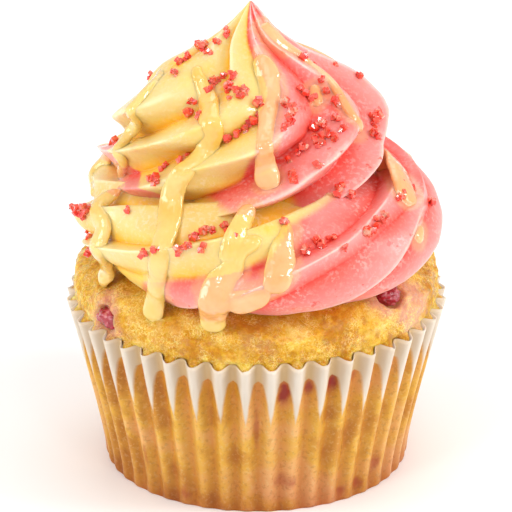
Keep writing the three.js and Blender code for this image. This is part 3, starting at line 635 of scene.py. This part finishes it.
def land_on(surface, azimuth, height):
    """Where a level ray towards the axis first meets the surface, and the way that it faces."""
    outside = 60.0
    start = Vector(polar(azimuth, outside, height))
    inward = Vector((-start.x, -start.y, 0)).normalized()
    place, normal, _, _ = surface.ray_cast(start, inward)
    if place is None:
        return None
    if normal.dot(inward) > 0:
        normal = -normal
    return place, normal


def syrup_run(run, surface):
    """A tube that follows the surface, bridges the valleys and ends in a drop."""
    azimuth_at, height_at, half_at = (stations(enumerate(column)) for column in zip(*run))
    samples, usual_radius = 400, 24.0
    dense = np.linspace(0, len(run) - 1, samples)
    line = polar(azimuth_at(dense), usual_radius, height_at(dense))
    run_length = np.concatenate([[0], np.cumsum(np.linalg.norm(np.diff(line, axis=0), axis=1))])
    length = run_length[-1]
    count = max(8, int(length / SYRUP_STEP))
    travelled = np.linspace(0, length, count + 1)
    at = np.interp(travelled, run_length, dense)
    azimuths, heights, halves = azimuth_at(at), height_at(at), half_at(at)
    radii, facings = [], []
    for place, normal in (land_on(surface, *at) for at in zip(azimuths, heights)):
        radii.append(math.hypot(place.x, place.y))
        facings.append(normal)
    line = polar(azimuths, bridged(hung(np.array(radii), length / count)), heights)
    facings = softened(np.array(facings) + 0.8 * polar(azimuths, 1.0, 0.4), 5)
    turns = np.linspace(0, 2 * math.pi, SYRUP_SIDES, endpoint=False) + math.pi / 2
    rings = []
    for i in range(count + 1):
        along = line[min(count, i + 1)] - line[max(0, i - 1)]
        along /= np.linalg.norm(along)
        side = np.cross(along, facings[i])
        side /= np.linalg.norm(side)
        out = np.cross(side, along)
        round_start = blunt_end(travelled[i], halves[0] * 1.5)
        round_end = blunt_end(length - travelled[i], halves[-1])
        full = min(round_start, round_end)
        half = max(0.1, SYRUP_SPREAD * halves[i] * full)
        lift = max(0.08, (SYRUP_THICKNESS + SYRUP_FULLNESS * (halves[i] - 1)) * full)
        height = np.where(np.sin(turns) > 0, lift, SYRUP_ROOT) * np.sin(turns)
        rings.append(line[i] + np.outer(half * np.cos(turns), side) + np.outer(height, out))
    return capped_skin(np.array(rings))


def blunt_end(distance, radius):
    """A run's width as a share, at a distance from its rounded end."""
    return math.sqrt(max(0.0, 1 - (1 - min(1.0, distance / radius)) ** 2))


def softened(values, passes):
    for _ in range(passes):
        values[1:-1] = (values[:-2] + 2 * values[1:-1] + values[2:]) / 4
    return values


def hung(radii, step):
    """Where the surface draws back below a crest, syrup hangs and leans in only slowly."""
    for i in range(1, len(radii)):
        radii[i] = max(radii[i], radii[i - 1] - SYRUP_LEAN * step)
    return radii


def bridged(radii):
    """Syrup sags only part of the way into a valley."""
    low = radii.copy()
    for _ in range(30):
        middle = (radii[:-2] + radii[2:]) / 2 - 0.012
        radii[1:-1] = np.maximum(low[1:-1], middle)
    return softened(radii, 3)


def height_above(surface, points):
    """For each point, how far it stands above the surface, and the way that the surface faces."""
    result = []
    for point in points:
        place, normal, _, _ = surface.find_nearest(Vector(point))
        result.append([max(0.0, (Vector(point) - place).dot(normal)), *normal])
    return np.array(result)


def make_syrup(surface, cream, cream_pink):
    """All runs melted into one skin; pink is the cream's below it, and body how thick it is."""
    points, faces = [], []
    for run in DRIZZLE:
        run_points, run_faces = syrup_run(run, surface)
        first = sum(len(p) for p in points)
        points.append(run_points)
        faces += [tuple(first + v for v in face) for face in run_faces]
    syrup = make_object("syrup_drizzle", np.concatenate(points), faces)
    remesh = syrup.modifiers.new("melt", "REMESH")
    remesh.mode = "VOXEL"
    remesh.voxel_size = SYRUP_VOXEL * MM
    smooth = syrup.modifiers.new("soften", "SMOOTH")
    smooth.factor = 0.5
    smooth.iterations = 4
    apply_modifiers(syrup)
    points = vertex_points(syrup)
    rise = height_above(surface, points)
    foot = (1 - smooth_step(rise[:, 0] / SYRUP_FOOT)) * np.minimum(rise[:, 0], SYRUP_FOOT)
    move_vertices(syrup, points - rise[:, 1:] * foot[:, None])
    points = vertex_points(syrup)
    order, _ = find_nearest(vertex_points(cream), points)
    clear = height_above(surface_of(cream), points)[:, 0]
    on_left = smooth_step((245 - np.mod(azimuth_of(points), 360)) / 4)
    height = points[:, 2]
    hanging = np.maximum(smooth_step((39 - height) / 1.5), on_left * smooth_step((44 - height) / 2))
    pink = cream_pink[order] * (1 - smooth_step((clear - 1.9) / 1.4)) * (1 - hanging)
    set_attribute(syrup, "pink", 0.7 * pink)
    set_attribute(syrup, "body", clamp01(rise[:, 0] / 1.1))
    set_attribute(syrup, "pooled", pooled(points, POOLS))
    blend_normals(shade_smooth(syrup), rise[:, 1:], 1 - smooth_step(rise[:, 0] / SYRUP_FOOT))
    return syrup


def blend_normals(obj, facings, share):
    """Turns the shading of thin edges to that of the surface below them."""
    normals = read_vertices(obj, "normal")
    blended = normals + (facings - normals) * share[:, None]
    blended /= np.linalg.norm(blended, axis=1)[:, None] + 1e-9
    obj.data.normals_split_custom_set_from_vertices(blended.tolist())


def glaze_cream(cream, syrup):
    """Marks on the cream where a film of syrup has spread beside the runs."""
    points = vertex_points(cream)
    _, away = find_nearest(vertex_points(syrup), points)
    reach = GLAZE_REACH * (1 + 0.6 * bumps(points, 4.0, 33))
    set_attribute(cream, "glaze", smooth_step((reach - away) / 0.8))


def paint_shade_on_sponge(sponge, surface):
    """Marks painted shade on the cake: darker below the edge of the cream, and in the crust patches that get
    less light.
    """
    points = vertex_points(sponge)
    far = 8.0
    away = np.array([surface.find_nearest(Vector(point), far)[3] or far for point in points])
    painted_shade = smooth_step((4.5 + 1.5 * bumps(points, 5.0, 12) - away) / 4.0)
    set_attribute(sponge, "painted_shade", np.maximum(painted_shade, pooled(points, CAKE_PAINTED_SHADE)))


def crystal(rng):
    """One rough sugar crystal about 1 across: a block with bevelled edges and uneven sides."""
    bevel = 0.84
    points = []
    for x, y, z in itertools.product((-1, 1), repeat=3):
        points += [[x, y * bevel, z * bevel], [x * bevel, y, z * bevel], [x * bevel, y * bevel, z]]
    points = np.array(points) * np.array([rng.uniform(0.8, 1.2) for _ in range(3)])
    return points + np.array([[rng.uniform(-0.12, 0.12) for _ in range(3)] for _ in points])


def make_grains(surface):
    """Sugar grains in short trails, each a few crystals stuck together."""
    draw = seeded_draw(20260)
    rng = random.Random(11)
    shell = bmesh.new()
    for from_azimuth, from_height, to_azimuth, to_height, count in GRAIN_TRAILS:
        for i in range(count):
            t = 0.5 if count == 1 else i / (count - 1)
            azimuth = from_azimuth + (to_azimuth - from_azimuth) * t + (next(draw) - 0.5) * GRAIN_SPREAD_DEG
            height = from_height + (to_height - from_height) * t + (next(draw) - 0.5) * GRAIN_SPREAD_UP
            size = GRAIN_SIZE * (0.85 + 0.3 * next(draw))
            turn = Euler((next(draw) * 3, next(draw) * 3, next(draw) * 3))
            landed = land_on(surface, azimuth, height)
            if landed is None:
                continue
            place, normal = landed
            for k in range(rng.choice(GRAIN_CLUSTERS)):
                lean = turn.to_matrix() @ Euler([rng.uniform(0, 3) for _ in range(3)]).to_matrix()
                spot = np.array(place + normal * (0.5 * size))
                spread = np.array([rng.uniform(-1, 1) for _ in range(3)]) * size * min(1, k)
                block = crystal(rng) @ np.array(lean).T * size * rng.uniform(0.45, 0.75) + spot + spread
                bmesh.ops.convex_hull(shell, input=[shell.verts.new(Vector(corner) * MM) for corner in block])
    grains = make_object("sugar_grains", [], [])
    shell.to_mesh(grains.data)
    shell.free()
    return grains


# ---- fruit


def make_fruit(name, place, half_sizes):
    """A burst berry: a lumpy ball of small round cells."""
    rows, columns = 48, 72
    tilt = np.linspace(0.02, math.pi - 0.02, rows)[:, None]
    around = np.linspace(0, 360, columns, endpoint=False)[None, :]
    ball = polar(around, np.sin(tilt), np.cos(tilt)).reshape(-1, 3)
    shift = Vector((place[0], 0, 0))
    cells = np.array([1 - noise.voronoi(Vector(p) * 2.3 + shift)[0][0] for p in ball])
    lumpy = ball * (0.80 + 0.22 * smooth_step(cells))[:, None] * np.array(half_sizes)
    turn = np.array(Matrix.Rotation(math.radians(place[0]), 3, "Z"))
    points = lumpy @ turn.T + polar(*place)
    return shade_smooth(make_skin(name, points.reshape(rows, columns, 3)))


# ---- paper case


def make_paper():
    """The pleated case as a thin closed sheet, with its folds and stains as attributes."""
    rng = random.Random(5)
    per_pleat = 14
    rim_shift = [rng.uniform(-0.22, 0.22) for _ in range(CASE_PLEATS)]
    depth_share = [rng.uniform(0.85, 1.0) for _ in range(CASE_PLEATS)]
    shares = np.arange(per_pleat) / per_pleat
    pleat_phase = np.tile(shares, CASE_PLEATS)
    azimuth = FIRST_PLEAT_DEG + (np.arange(CASE_PLEATS * per_pleat) / per_pleat) * 360 / CASE_PLEATS
    inward = fold_shape(pleat_phase)
    depth = np.repeat(depth_share, per_pleat)
    depth = (depth + np.roll(depth, per_pleat // 2)) / 2
    shift = np.repeat(rim_shift, per_pleat)
    heights = np.concatenate([[0.0, 0.06, 0.3, 0.9], np.linspace(CASE_CORNER, CASE_HEIGHT, 34)])
    rings = []
    for z, back in [(z, 0) for z in heights] + [(z, PAPER) for z in heights[::-1]]:
        radius, fold = wall_at(z)
        rise = CASE_FOLD_RISE * inward * clamp01((z - 20) / 9.5) + shift * clamp01((z - 24) / 5.5)
        rings.append(polar(azimuth, radius - back - fold * inward * depth, max(z, back) + rise))
    sheet = make_skin("case_sheet", np.array(rings))
    from_ridge = 2 * np.minimum(pleat_phase, 1 - pleat_phase)
    set_attribute(sheet, "from_ridge", np.concatenate([np.tile(from_ridge, len(rings)), [0, 0]]))
    set_attribute(sheet, "stain", paper_stain(vertex_points(sheet)))
    return shade_smooth(sheet)


def paper_stain(points):
    """How strong each berry stain is, up to 1 in its middle, with a ragged edge."""
    stain = np.zeros(len(points))
    ragged = 0.5 * bumps(points, 1.2, 41)
    for azimuth, height, half_width, half_height, strength in PAPER_STAINS:
        around = np.mod(azimuth_of(points) - azimuth + 180, 360) - 180
        beside = np.radians(around) * np.hypot(points[:, 0], points[:, 1]) / half_width
        along = (points[:, 2] - height) / half_height
        stain = np.maximum(stain, strength * smooth_step(1.5 - np.hypot(beside, along) + ragged))
    return stain


def fold_shape(phase):
    """0 on the outward fold and 1 on the inward fold of a pleat."""
    wave = 0.5 - 0.5 * np.cos(2 * np.pi * phase)
    return smooth_step(wave) * 0.45 + wave * 0.55


def wall_at(height):
    if height < CASE_CORNER:
        t = (1 - (1 - height / CASE_CORNER) ** 2) ** 0.5
        return CASE_FLOOR_RADIUS - CASE_FLOOR_ROUNDING * (1 - t), CASE_FOLD_DEPTH_FLOOR * (0.2 + 0.8 * t)
    return case_radius(height), case_fold_depth(height)


# ---- materials


def set_inputs(made, values):
    """Sets unlinked inputs by name, with _ for a space."""
    for name, value in values.items():
        made.inputs[name.replace("_", " ")].default_value = value


def new_material(name, **inputs):
    """A material whose uniform inputs are given by name; also its node tree and its shader."""
    material = bpy.data.materials.new(name)
    material.use_nodes = True
    shader = material.node_tree.nodes["Principled BSDF"]
    set_inputs(shader, inputs)
    return material, material.node_tree, shader


def plug(value, made, name):
    """Links a socket to an input, given by name or number."""
    made.id_data.links.new(value, made.inputs[name])


def node(tree, kind, settings=None, **inputs):
    """A node with its settings and its unlinked inputs given by name."""
    made = tree.nodes.new(kind)
    for key, value in (settings or {}).items():
        setattr(made, key, value)
    set_inputs(made, inputs)
    return made


def fill(made, values, first=0):
    """Fills a node's inputs in order with sockets, numbers or colours."""
    for number, value in enumerate(values, first):
        if isinstance(value, bpy.types.NodeSocket):
            plug(value, made, number)
        else:
            made.inputs[number].default_value = (*value, 1.0) if isinstance(value, tuple) else value


def object_place(tree):
    return node(tree, "ShaderNodeTexCoord").outputs["Object"]


def noise_value(tree, scale, detail=3.0, roughness=0.55):
    texture = node(tree, "ShaderNodeTexNoise", Scale=scale, Detail=detail, Roughness=roughness)
    plug(object_place(tree), texture, "Vector")
    return texture.outputs["Fac"]


def ramp(tree, value, stops):
    """A colour ramp; each stop is a position and a colour, or one number for a grey."""
    made = node(tree, "ShaderNodeValToRGB")
    elements = made.color_ramp.elements
    while len(elements) < len(stops):
        elements.new(0.5)
    for element, (position, colour) in zip(elements, stops):
        element.position = position
        element.color = (*colour, 1.0) if isinstance(colour, tuple) else (colour, colour, colour, 1.0)
    plug(value, made, "Fac")
    return made.outputs["Color"]


def mix(tree, share, first, second, blend="MIX"):
    """A colour mix; share, first and second are sockets or plain values."""
    made = node(tree, "ShaderNodeMix", {"data_type": "RGBA", "blend_type": blend})
    fill(made, [share])
    fill(made, [first, second], 6)
    return made.outputs[2]


def maths(tree, operation, *values, clamp=True):
    made = node(tree, "ShaderNodeMath", {"operation": operation, "use_clamp": clamp})
    fill(made, values)
    return made.outputs[0]


def times(tree, first, second):
    return maths(tree, "MULTIPLY", first, second)


def attribute(tree, name):
    return node(tree, "ShaderNodeAttribute", {"attribute_name": name}).outputs["Fac"]


def tint(tree, colour, share, strength, target):
    """Moves a colour towards a target; share is a socket or the name of an attribute."""
    if isinstance(share, str):
        share = attribute(tree, share)
    return mix(tree, times(tree, share, strength), colour, target)


def add_bump(tree, shader, value, strength, distance_mm):
    bump = node(tree, "ShaderNodeBump", Strength=strength, Distance=distance_mm * MM)
    plug(value, bump, "Height")
    if shader.inputs["Normal"].is_linked:
        plug(shader.inputs["Normal"].links[0].from_socket, bump, "Normal")
    plug(bump.outputs["Normal"], shader, "Normal")


def bump_coat_too(shader):
    plug(shader.inputs["Normal"].links[0].from_socket, shader, "Coat Normal")


def cream_material():
    """Yellow and pink cream: a painted highlight pale along the crests, painted warm shade deep in the
    valleys, deeper too where syrup pooled.
    """
    material, tree, shader = new_material(
        "cream", Roughness=0.34, Coat_Roughness=0.05, Subsurface_Weight=0.6,
        Subsurface_Radius=(1.0, 0.8, 0.4), Subsurface_Scale=1.4 * MM)
    valley, pink_share, glaze = (attribute(tree, name) for name in ("valley", "pink", "glaze"))
    # painted highlight on the crests and painted warm shade down the valleys; pooled syrup deepens the colour
    # too
    yellow = ramp(tree, valley, [(0, (0.86, 0.74, 0.43)), (0.1, (0.81, 0.63, 0.27)),
                                 (0.6, (0.81, 0.59, 0.17)), (0.9, (0.92, 0.56, 0.05)),
                                 (1, (0.97, 0.48, 0.01))])
    pink = ramp(tree, valley, [(0, (0.92, 0.52, 0.47)), (0.1, (0.84, 0.30, 0.27)),
                               (0.6, (0.80, 0.19, 0.165)), (0.9, (0.85, 0.11, 0.08)),
                               (1, (0.84, 0.04, 0.02))])
    ragged = times(tree, maths(tree, "SUBTRACT", noise_value(tree, 260, 4), 0.5), 0.5)
    colour = mix(tree, maths(tree, "ADD", pink_share, ragged), yellow, pink)
    specks = ramp(tree, noise_value(tree, 650, 2), [(0.665, 0), (0.70, 1)])
    colour = tint(tree, colour, times(tree, specks, pink_share), 0.75, (0.78, 0.07, 0.05))
    # painted highlights: fine pale scratches of glint, stronger in patches
    painted_glint_specks = ramp(tree, noise_value(tree, 1500, 3), [(0.50, 0), (0.62, 1)])
    glint_specks_patch = ramp(tree, noise_value(tree, 150, 2), [(0.45, 0.15), (0.60, 0.55)])
    colour = tint(tree, colour, times(tree, painted_glint_specks, glint_specks_patch), 0.45, (0.97, 0.86, 0.78))
    film = mix(tree, pink_share, (0.92, 0.66, 0.20), (0.90, 0.42, 0.18))
    plug(tint(tree, colour, glaze, 0.45, film), shader, "Base Color")
    plug(glaze, shader, "Coat Weight")
    add_bump(tree, shader, noise_value(tree, 900, 3), 0.35, 0.2)
    add_bump(tree, shader, noise_value(tree, 2600, 2), 0.5, 0.07)
    return material


def syrup_material():
    """Glossy syrup: it takes a little of the cream's colour, and is deeper where it has pooled."""
    material, tree, shader = new_material(
        "syrup", Roughness=0.12, IOR=1.45, Coat_Weight=1.0, Coat_Roughness=0.02, Subsurface_Weight=0.3,
        Subsurface_Radius=(1.0, 0.65, 0.35), Subsurface_Scale=0.8 * MM)
    cloud = noise_value(tree, 180)
    over_yellow = ramp(tree, cloud, [(0.3, (0.80, 0.53, 0.12)), (0.7, (0.87, 0.63, 0.21))])
    over_pink = ramp(tree, cloud, [(0.3, (0.87, 0.34, 0.15)), (0.7, (0.90, 0.46, 0.25))])
    pink = attribute(tree, "pink")
    thin = mix(tree, pink, (0.88, 0.66, 0.20), (0.90, 0.32, 0.20))
    body = ramp(tree, attribute(tree, "body"), [(0.02, 0), (0.55, 1)])
    colour = mix(tree, body, thin, mix(tree, pink, over_yellow, over_pink))
    deep = mix(tree, pink, (0.86, 0.46, 0.05), (0.82, 0.18, 0.07))
    plug(tint(tree, colour, "pooled", 0.8, deep), shader, "Base Color")
    add_bump(tree, shader, noise_value(tree, 330, 2), 0.6, 0.8)
    bump_coat_too(shader)
    return material


def grain_material():
    material, tree, shader = new_material(
        "sugar_grain", Roughness=0.15, IOR=1.5, Coat_Weight=1.0, Coat_Roughness=0.05, Subsurface_Weight=0.5,
        Subsurface_Radius=(1.0, 0.2, 0.15), Subsurface_Scale=0.8 * MM)
    colour = ramp(tree, noise_value(tree, 700), [(0.35, (0.84, 0.03, 0.015)), (0.55, (0.92, 0.10, 0.05)),
                                                 (0.72, (0.97, 0.42, 0.28))])
    plug(colour, shader, "Base Color")
    return material


def sponge_material():
    """Golden crust with a fine crumb and berry stains; painted shade in the pores, below the cream and in the
    berry hollows, and painted highlights as pale curls of wet glint.
    """
    material, tree, shader = new_material(
        "sponge", Roughness=0.55, Specular_IOR_Level=0.25, Coat_Roughness=0.12, Subsurface_Weight=0.6,
        Subsurface_Radius=(1.0, 0.4, 0.06), Subsurface_Scale=2.0 * MM)
    blend = mix(tree, 0.5, noise_value(tree, 130, 3), noise_value(tree, 900, 5, 0.7))
    colour = ramp(tree, blend, [(0.41, (0.54, 0.21, 0.002)), (0.50, (0.74, 0.38, 0.01)),
                                (0.59, (0.89, 0.58, 0.09))])
    pores = crumb_pores(tree)
    # painted shade: the crumb's pores darker in colour
    colour = tint(tree, colour, pores, 0.5, (0.64, 0.22, 0.004))
    # painted shade: darker below the cream's edge and on the less lit crust patches
    colour = tint(tree, colour, "painted_shade", 0.55, (0.66, 0.26, 0.003))
    colour = tint(tree, colour, "stain", 0.6, (0.80, 0.36, 0.32))
    # painted shade: darker in the hollows round the berry pieces
    colour = tint(tree, colour, "hollow", 0.7, (0.52, 0.14, 0.02))
    # painted highlights: pale curls of glint on the wet sugary crumb, thicker in patches
    painted_glints = ramp(tree, noise_value(tree, 1700, 1), [(0.45, 0), (0.48, 1), (0.52, 1), (0.55, 0)])
    glint_patch = ramp(tree, noise_value(tree, 260, 3), [(0.40, 0.05), (0.60, 0.75)])
    plug(mix(tree, times(tree, painted_glints, glint_patch), colour, (1.0, 0.78, 0.27)), shader, "Base Color")
    plug(ramp(tree, noise_value(tree, 500, 4), [(0.46, 0), (0.56, 1)]), shader, "Coat Weight")
    add_bump(tree, shader, pores, -0.5, 0.35)
    add_bump(tree, shader, noise_value(tree, 1300, 5, 0.7), 0.9, 0.6)
    bump_coat_too(shader)
    return material


def crumb_pores(tree):
    """1 in the small holes of the crumb and 0 between them."""
    cells = node(tree, "ShaderNodeTexVoronoi", Scale=750.0)
    plug(object_place(tree), cells, "Vector")
    return ramp(tree, cells.outputs["Distance"], [(0.10, 1), (0.38, 0)])


def fruit_material():
    material, tree, shader = new_material("fruit", Roughness=0.22, Coat_Weight=0.8, Coat_Roughness=0.05)
    colour = ramp(tree, noise_value(tree, 450, 3), [(0.35, (0.24, 0.004, 0.01)), (0.58, (0.45, 0.02, 0.04)),
                                                    (0.72, (0.80, 0.30, 0.30))])
    plug(colour, shader, "Base Color")
    add_bump(tree, shader, noise_value(tree, 1100), 0.6, 0.35)
    return material


def paper_material():
    """Greaseproof paper: white where it stands free, and the cake's gold where it clings."""
    material, tree, shader = new_material(
        "case_paper", Specular_IOR_Level=0.25, Subsurface_Weight=0.5, Subsurface_Radius=(0.8, 0.85, 0.9),
        Subsurface_Scale=1.0 * MM)
    split = node(tree, "ShaderNodeSeparateXYZ")
    plug(object_place(tree), split, 0)
    level = times(tree, split.outputs["Z"], 1 / (CASE_HEIGHT * MM))
    from_ridge = attribute(tree, "from_ridge")
    contact = paper_contact(tree, level, from_ridge)
    gold = ramp(tree, noise_value(tree, 110, 2), [(0.36, (0.66, 0.27, 0.035)), (0.48, (0.88, 0.44, 0.06)),
                                                  (0.62, (0.96, 0.46, 0.16))])
    dark_marks = ramp(tree, noise_value(tree, 1300, 2), [(0.34, 1), (0.46, 0)])
    light_marks = ramp(tree, noise_value(tree, 1700, 2), [(0.54, 0), (0.66, 1)])
    gold = tint(tree, gold, dark_marks, 0.35, (0.48, 0.19, 0.03))
    gold = tint(tree, gold, light_marks, 0.32, (0.94, 0.64, 0.28))
    # painted shade: darker towards the inward folds
    fold_shade = ramp(tree, from_ridge, [(0, (1.0, 1.0, 1.0)), (0.35, (0.93, 0.88, 0.80)),
                                         (1, (0.78, 0.62, 0.42))])
    # darker towards the floor and towards the rim
    level_tone = ramp(tree, level, [(0, (0.56, 0.40, 0.38)), (0.14, (0.76, 0.73, 0.82)),
                               (0.35, (0.88, 0.90, 0.92)), (0.60, (0.92, 0.96, 0.96)),
                               (0.90, (0.82, 0.74, 0.55))])
    for shade in (fold_shade, level_tone):
        gold = mix(tree, 1.0, gold, shade, "MULTIPLY")
    gold = tint(tree, gold, "stain", 0.95, (0.30, 0.022, 0.018))
    white = ramp(tree, noise_value(tree, 60, 3), [(0.3, (0.68, 0.55, 0.42)), (0.7, (0.79, 0.69, 0.57))])
    # painted shade in the inward folds of the free paper
    in_fold = ramp(tree, from_ridge, [(0.20, 0), (0.80, 1)])
    white = mix(tree, in_fold, white, (0.62, 0.42, 0.22))
    plug(mix(tree, contact, white, gold), shader, "Base Color")
    plug(ramp(tree, contact, [(0, 0.55), (1, 0.40)]), shader, "Roughness")
    add_bump(tree, shader, noise_value(tree, 700, 5, 0.65), 0.4, 0.15)
    return material


def paper_contact(tree, level, from_ridge):
    """1 where the paper lies on the cake, in tongues with round tops between the white ridges."""
    fold_weight, edge_from, edge_to, wobble_size = 0.8, 0.86, 1.0, 0.1
    middle = (edge_from + edge_to - wobble_size) / 2 - fold_weight
    stops = []
    for height, share in PAPER_CONTACT:
        value = min(1.0, fold_weight * share + middle) if share else 0.0
        stops.append((height / CASE_HEIGHT, value))
    fold = times(tree, from_ridge, fold_weight)
    wobble = times(tree, noise_value(tree, 350, 3), wobble_size)
    total = maths(tree, "ADD", ramp(tree, level, stops), fold, clamp=False)
    wavy = maths(tree, "ADD", total, wobble, clamp=False)
    made = node(tree, "ShaderNodeMapRange", From_Min=edge_from, From_Max=edge_to)
    plug(wavy, made, "Value")
    return made.outputs["Result"]


# ---- the pieces


def place_piece(obj, material, node_name):
    obj.data.materials.clear()
    obj.data.materials.append(material)
    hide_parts(node_name)
    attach(obj, "root")


sponge = make_sponge()
cream, cream_pink = make_cream(sponge)
whole_surface = surface_of(cream, sponge)
syrup = make_syrup(whole_surface, cream, cream_pink)
glaze_cream(cream, syrup)
paint_shade_on_sponge(sponge, surface_of(cream))
grains = make_grains(surface_of(cream))
paper = make_paper()

place_piece(sponge, sponge_material(), "cake")
place_piece(cream, cream_material(), "frosting")
place_piece(syrup, syrup_material(), "frosting")
place_piece(grains, grain_material(), "frosting")
place_piece(paper, paper_material(), "paper_case")
fruit = fruit_material()
for berry, place, half_sizes in BERRIES:
    place_piece(make_fruit(berry.replace("berry", "fruit"), place, half_sizes), fruit, berry)

# ---- floor, light and camera


def make_floor():
    half = 2500.0
    corners = [[-half, -half, 0], [half, -half, 0], [half, half, 0], [-half, half, 0]]
    floor = make_object("floor", corners, [(0, 1, 2, 3)])
    material, tree, shader = new_material("floor", Roughness=0.8)
    plug(ramp(tree, noise_value(tree, 3), [(0.3, 0.93), (0.7, 0.96)]), shader, "Base Color")
    floor.data.materials.append(material)


# Square softboxes: name, azimuth, elevation, distance, size and watts.
LIGHTS = [
    ["key", 225, 55, 600, 300, 0.38], ["window", 238, 40, 700, 110, 0.5],
    ["window_2", 284, 52, 700, 90, 0.3], ["right", 345, 38, 600, 160, 1.1],
    ["right_fill", 335, 8, 700, 400, 1.5], ["fill", 238, 4, 700, 500, 0.3],
    ["left", 190, 12, 650, 300, 1.2], ["back", 80, 60, 700, 500, 1.0],
]
LIGHTS_AIM = Vector((0, 0, 45))
WORLD_STRENGTH = 0.71


def look(obj, place, target):
    """Puts a lamp or camera at a place in millimetres, facing the target."""
    obj.location = place * MM
    obj.rotation_euler = (target - place).to_track_quat("-Z", "Y").to_euler()


def make_light(name, azimuth, elevation, distance, size, watts):
    data = bpy.data.lights.new(name, "AREA")
    data.shape = "SQUARE"
    data.size = size * MM
    data.energy = watts
    e = math.radians(elevation)
    away = Vector(polar(azimuth, math.cos(e), math.sin(e)))
    look(add_object(name, data), LIGHTS_AIM + away * distance, LIGHTS_AIM)


CAMERA_DISTANCE = 1300.0
CAMERA_ELEVATION = 23.74
FOCUS_HEIGHT = 40.0
AIM = Vector((-0.08, 0.0, 36.5))
PIXELS_PER_MM = 5.807
IMAGE_SIZE = 512
SENSOR = 36.0


def make_camera():
    data = bpy.data.cameras.new("camera")
    data.sensor_width = SENSOR
    data.lens = PIXELS_PER_MM * CAMERA_DISTANCE / IMAGE_SIZE * SENSOR
    data.clip_end = 20
    camera = add_object("camera", data)
    e = math.radians(CAMERA_ELEVATION)
    place = Vector((0, -CAMERA_DISTANCE * math.cos(e), FOCUS_HEIGHT + CAMERA_DISTANCE * math.sin(e)))
    look(camera, place, AIM)
    bpy.context.scene.camera = camera


def make_world():
    world = bpy.data.worlds.new("studio")
    world.use_nodes = True
    background = world.node_tree.nodes["Background"]
    background.inputs["Color"].default_value = (1, 1, 1, 1)
    background.inputs["Strength"].default_value = WORLD_STRENGTH
    bpy.context.scene.world = world


make_floor()
make_world()
for light in LIGHTS:
    make_light(*light)
make_camera()
bpy.context.scene.view_settings.view_transform = "Standard"
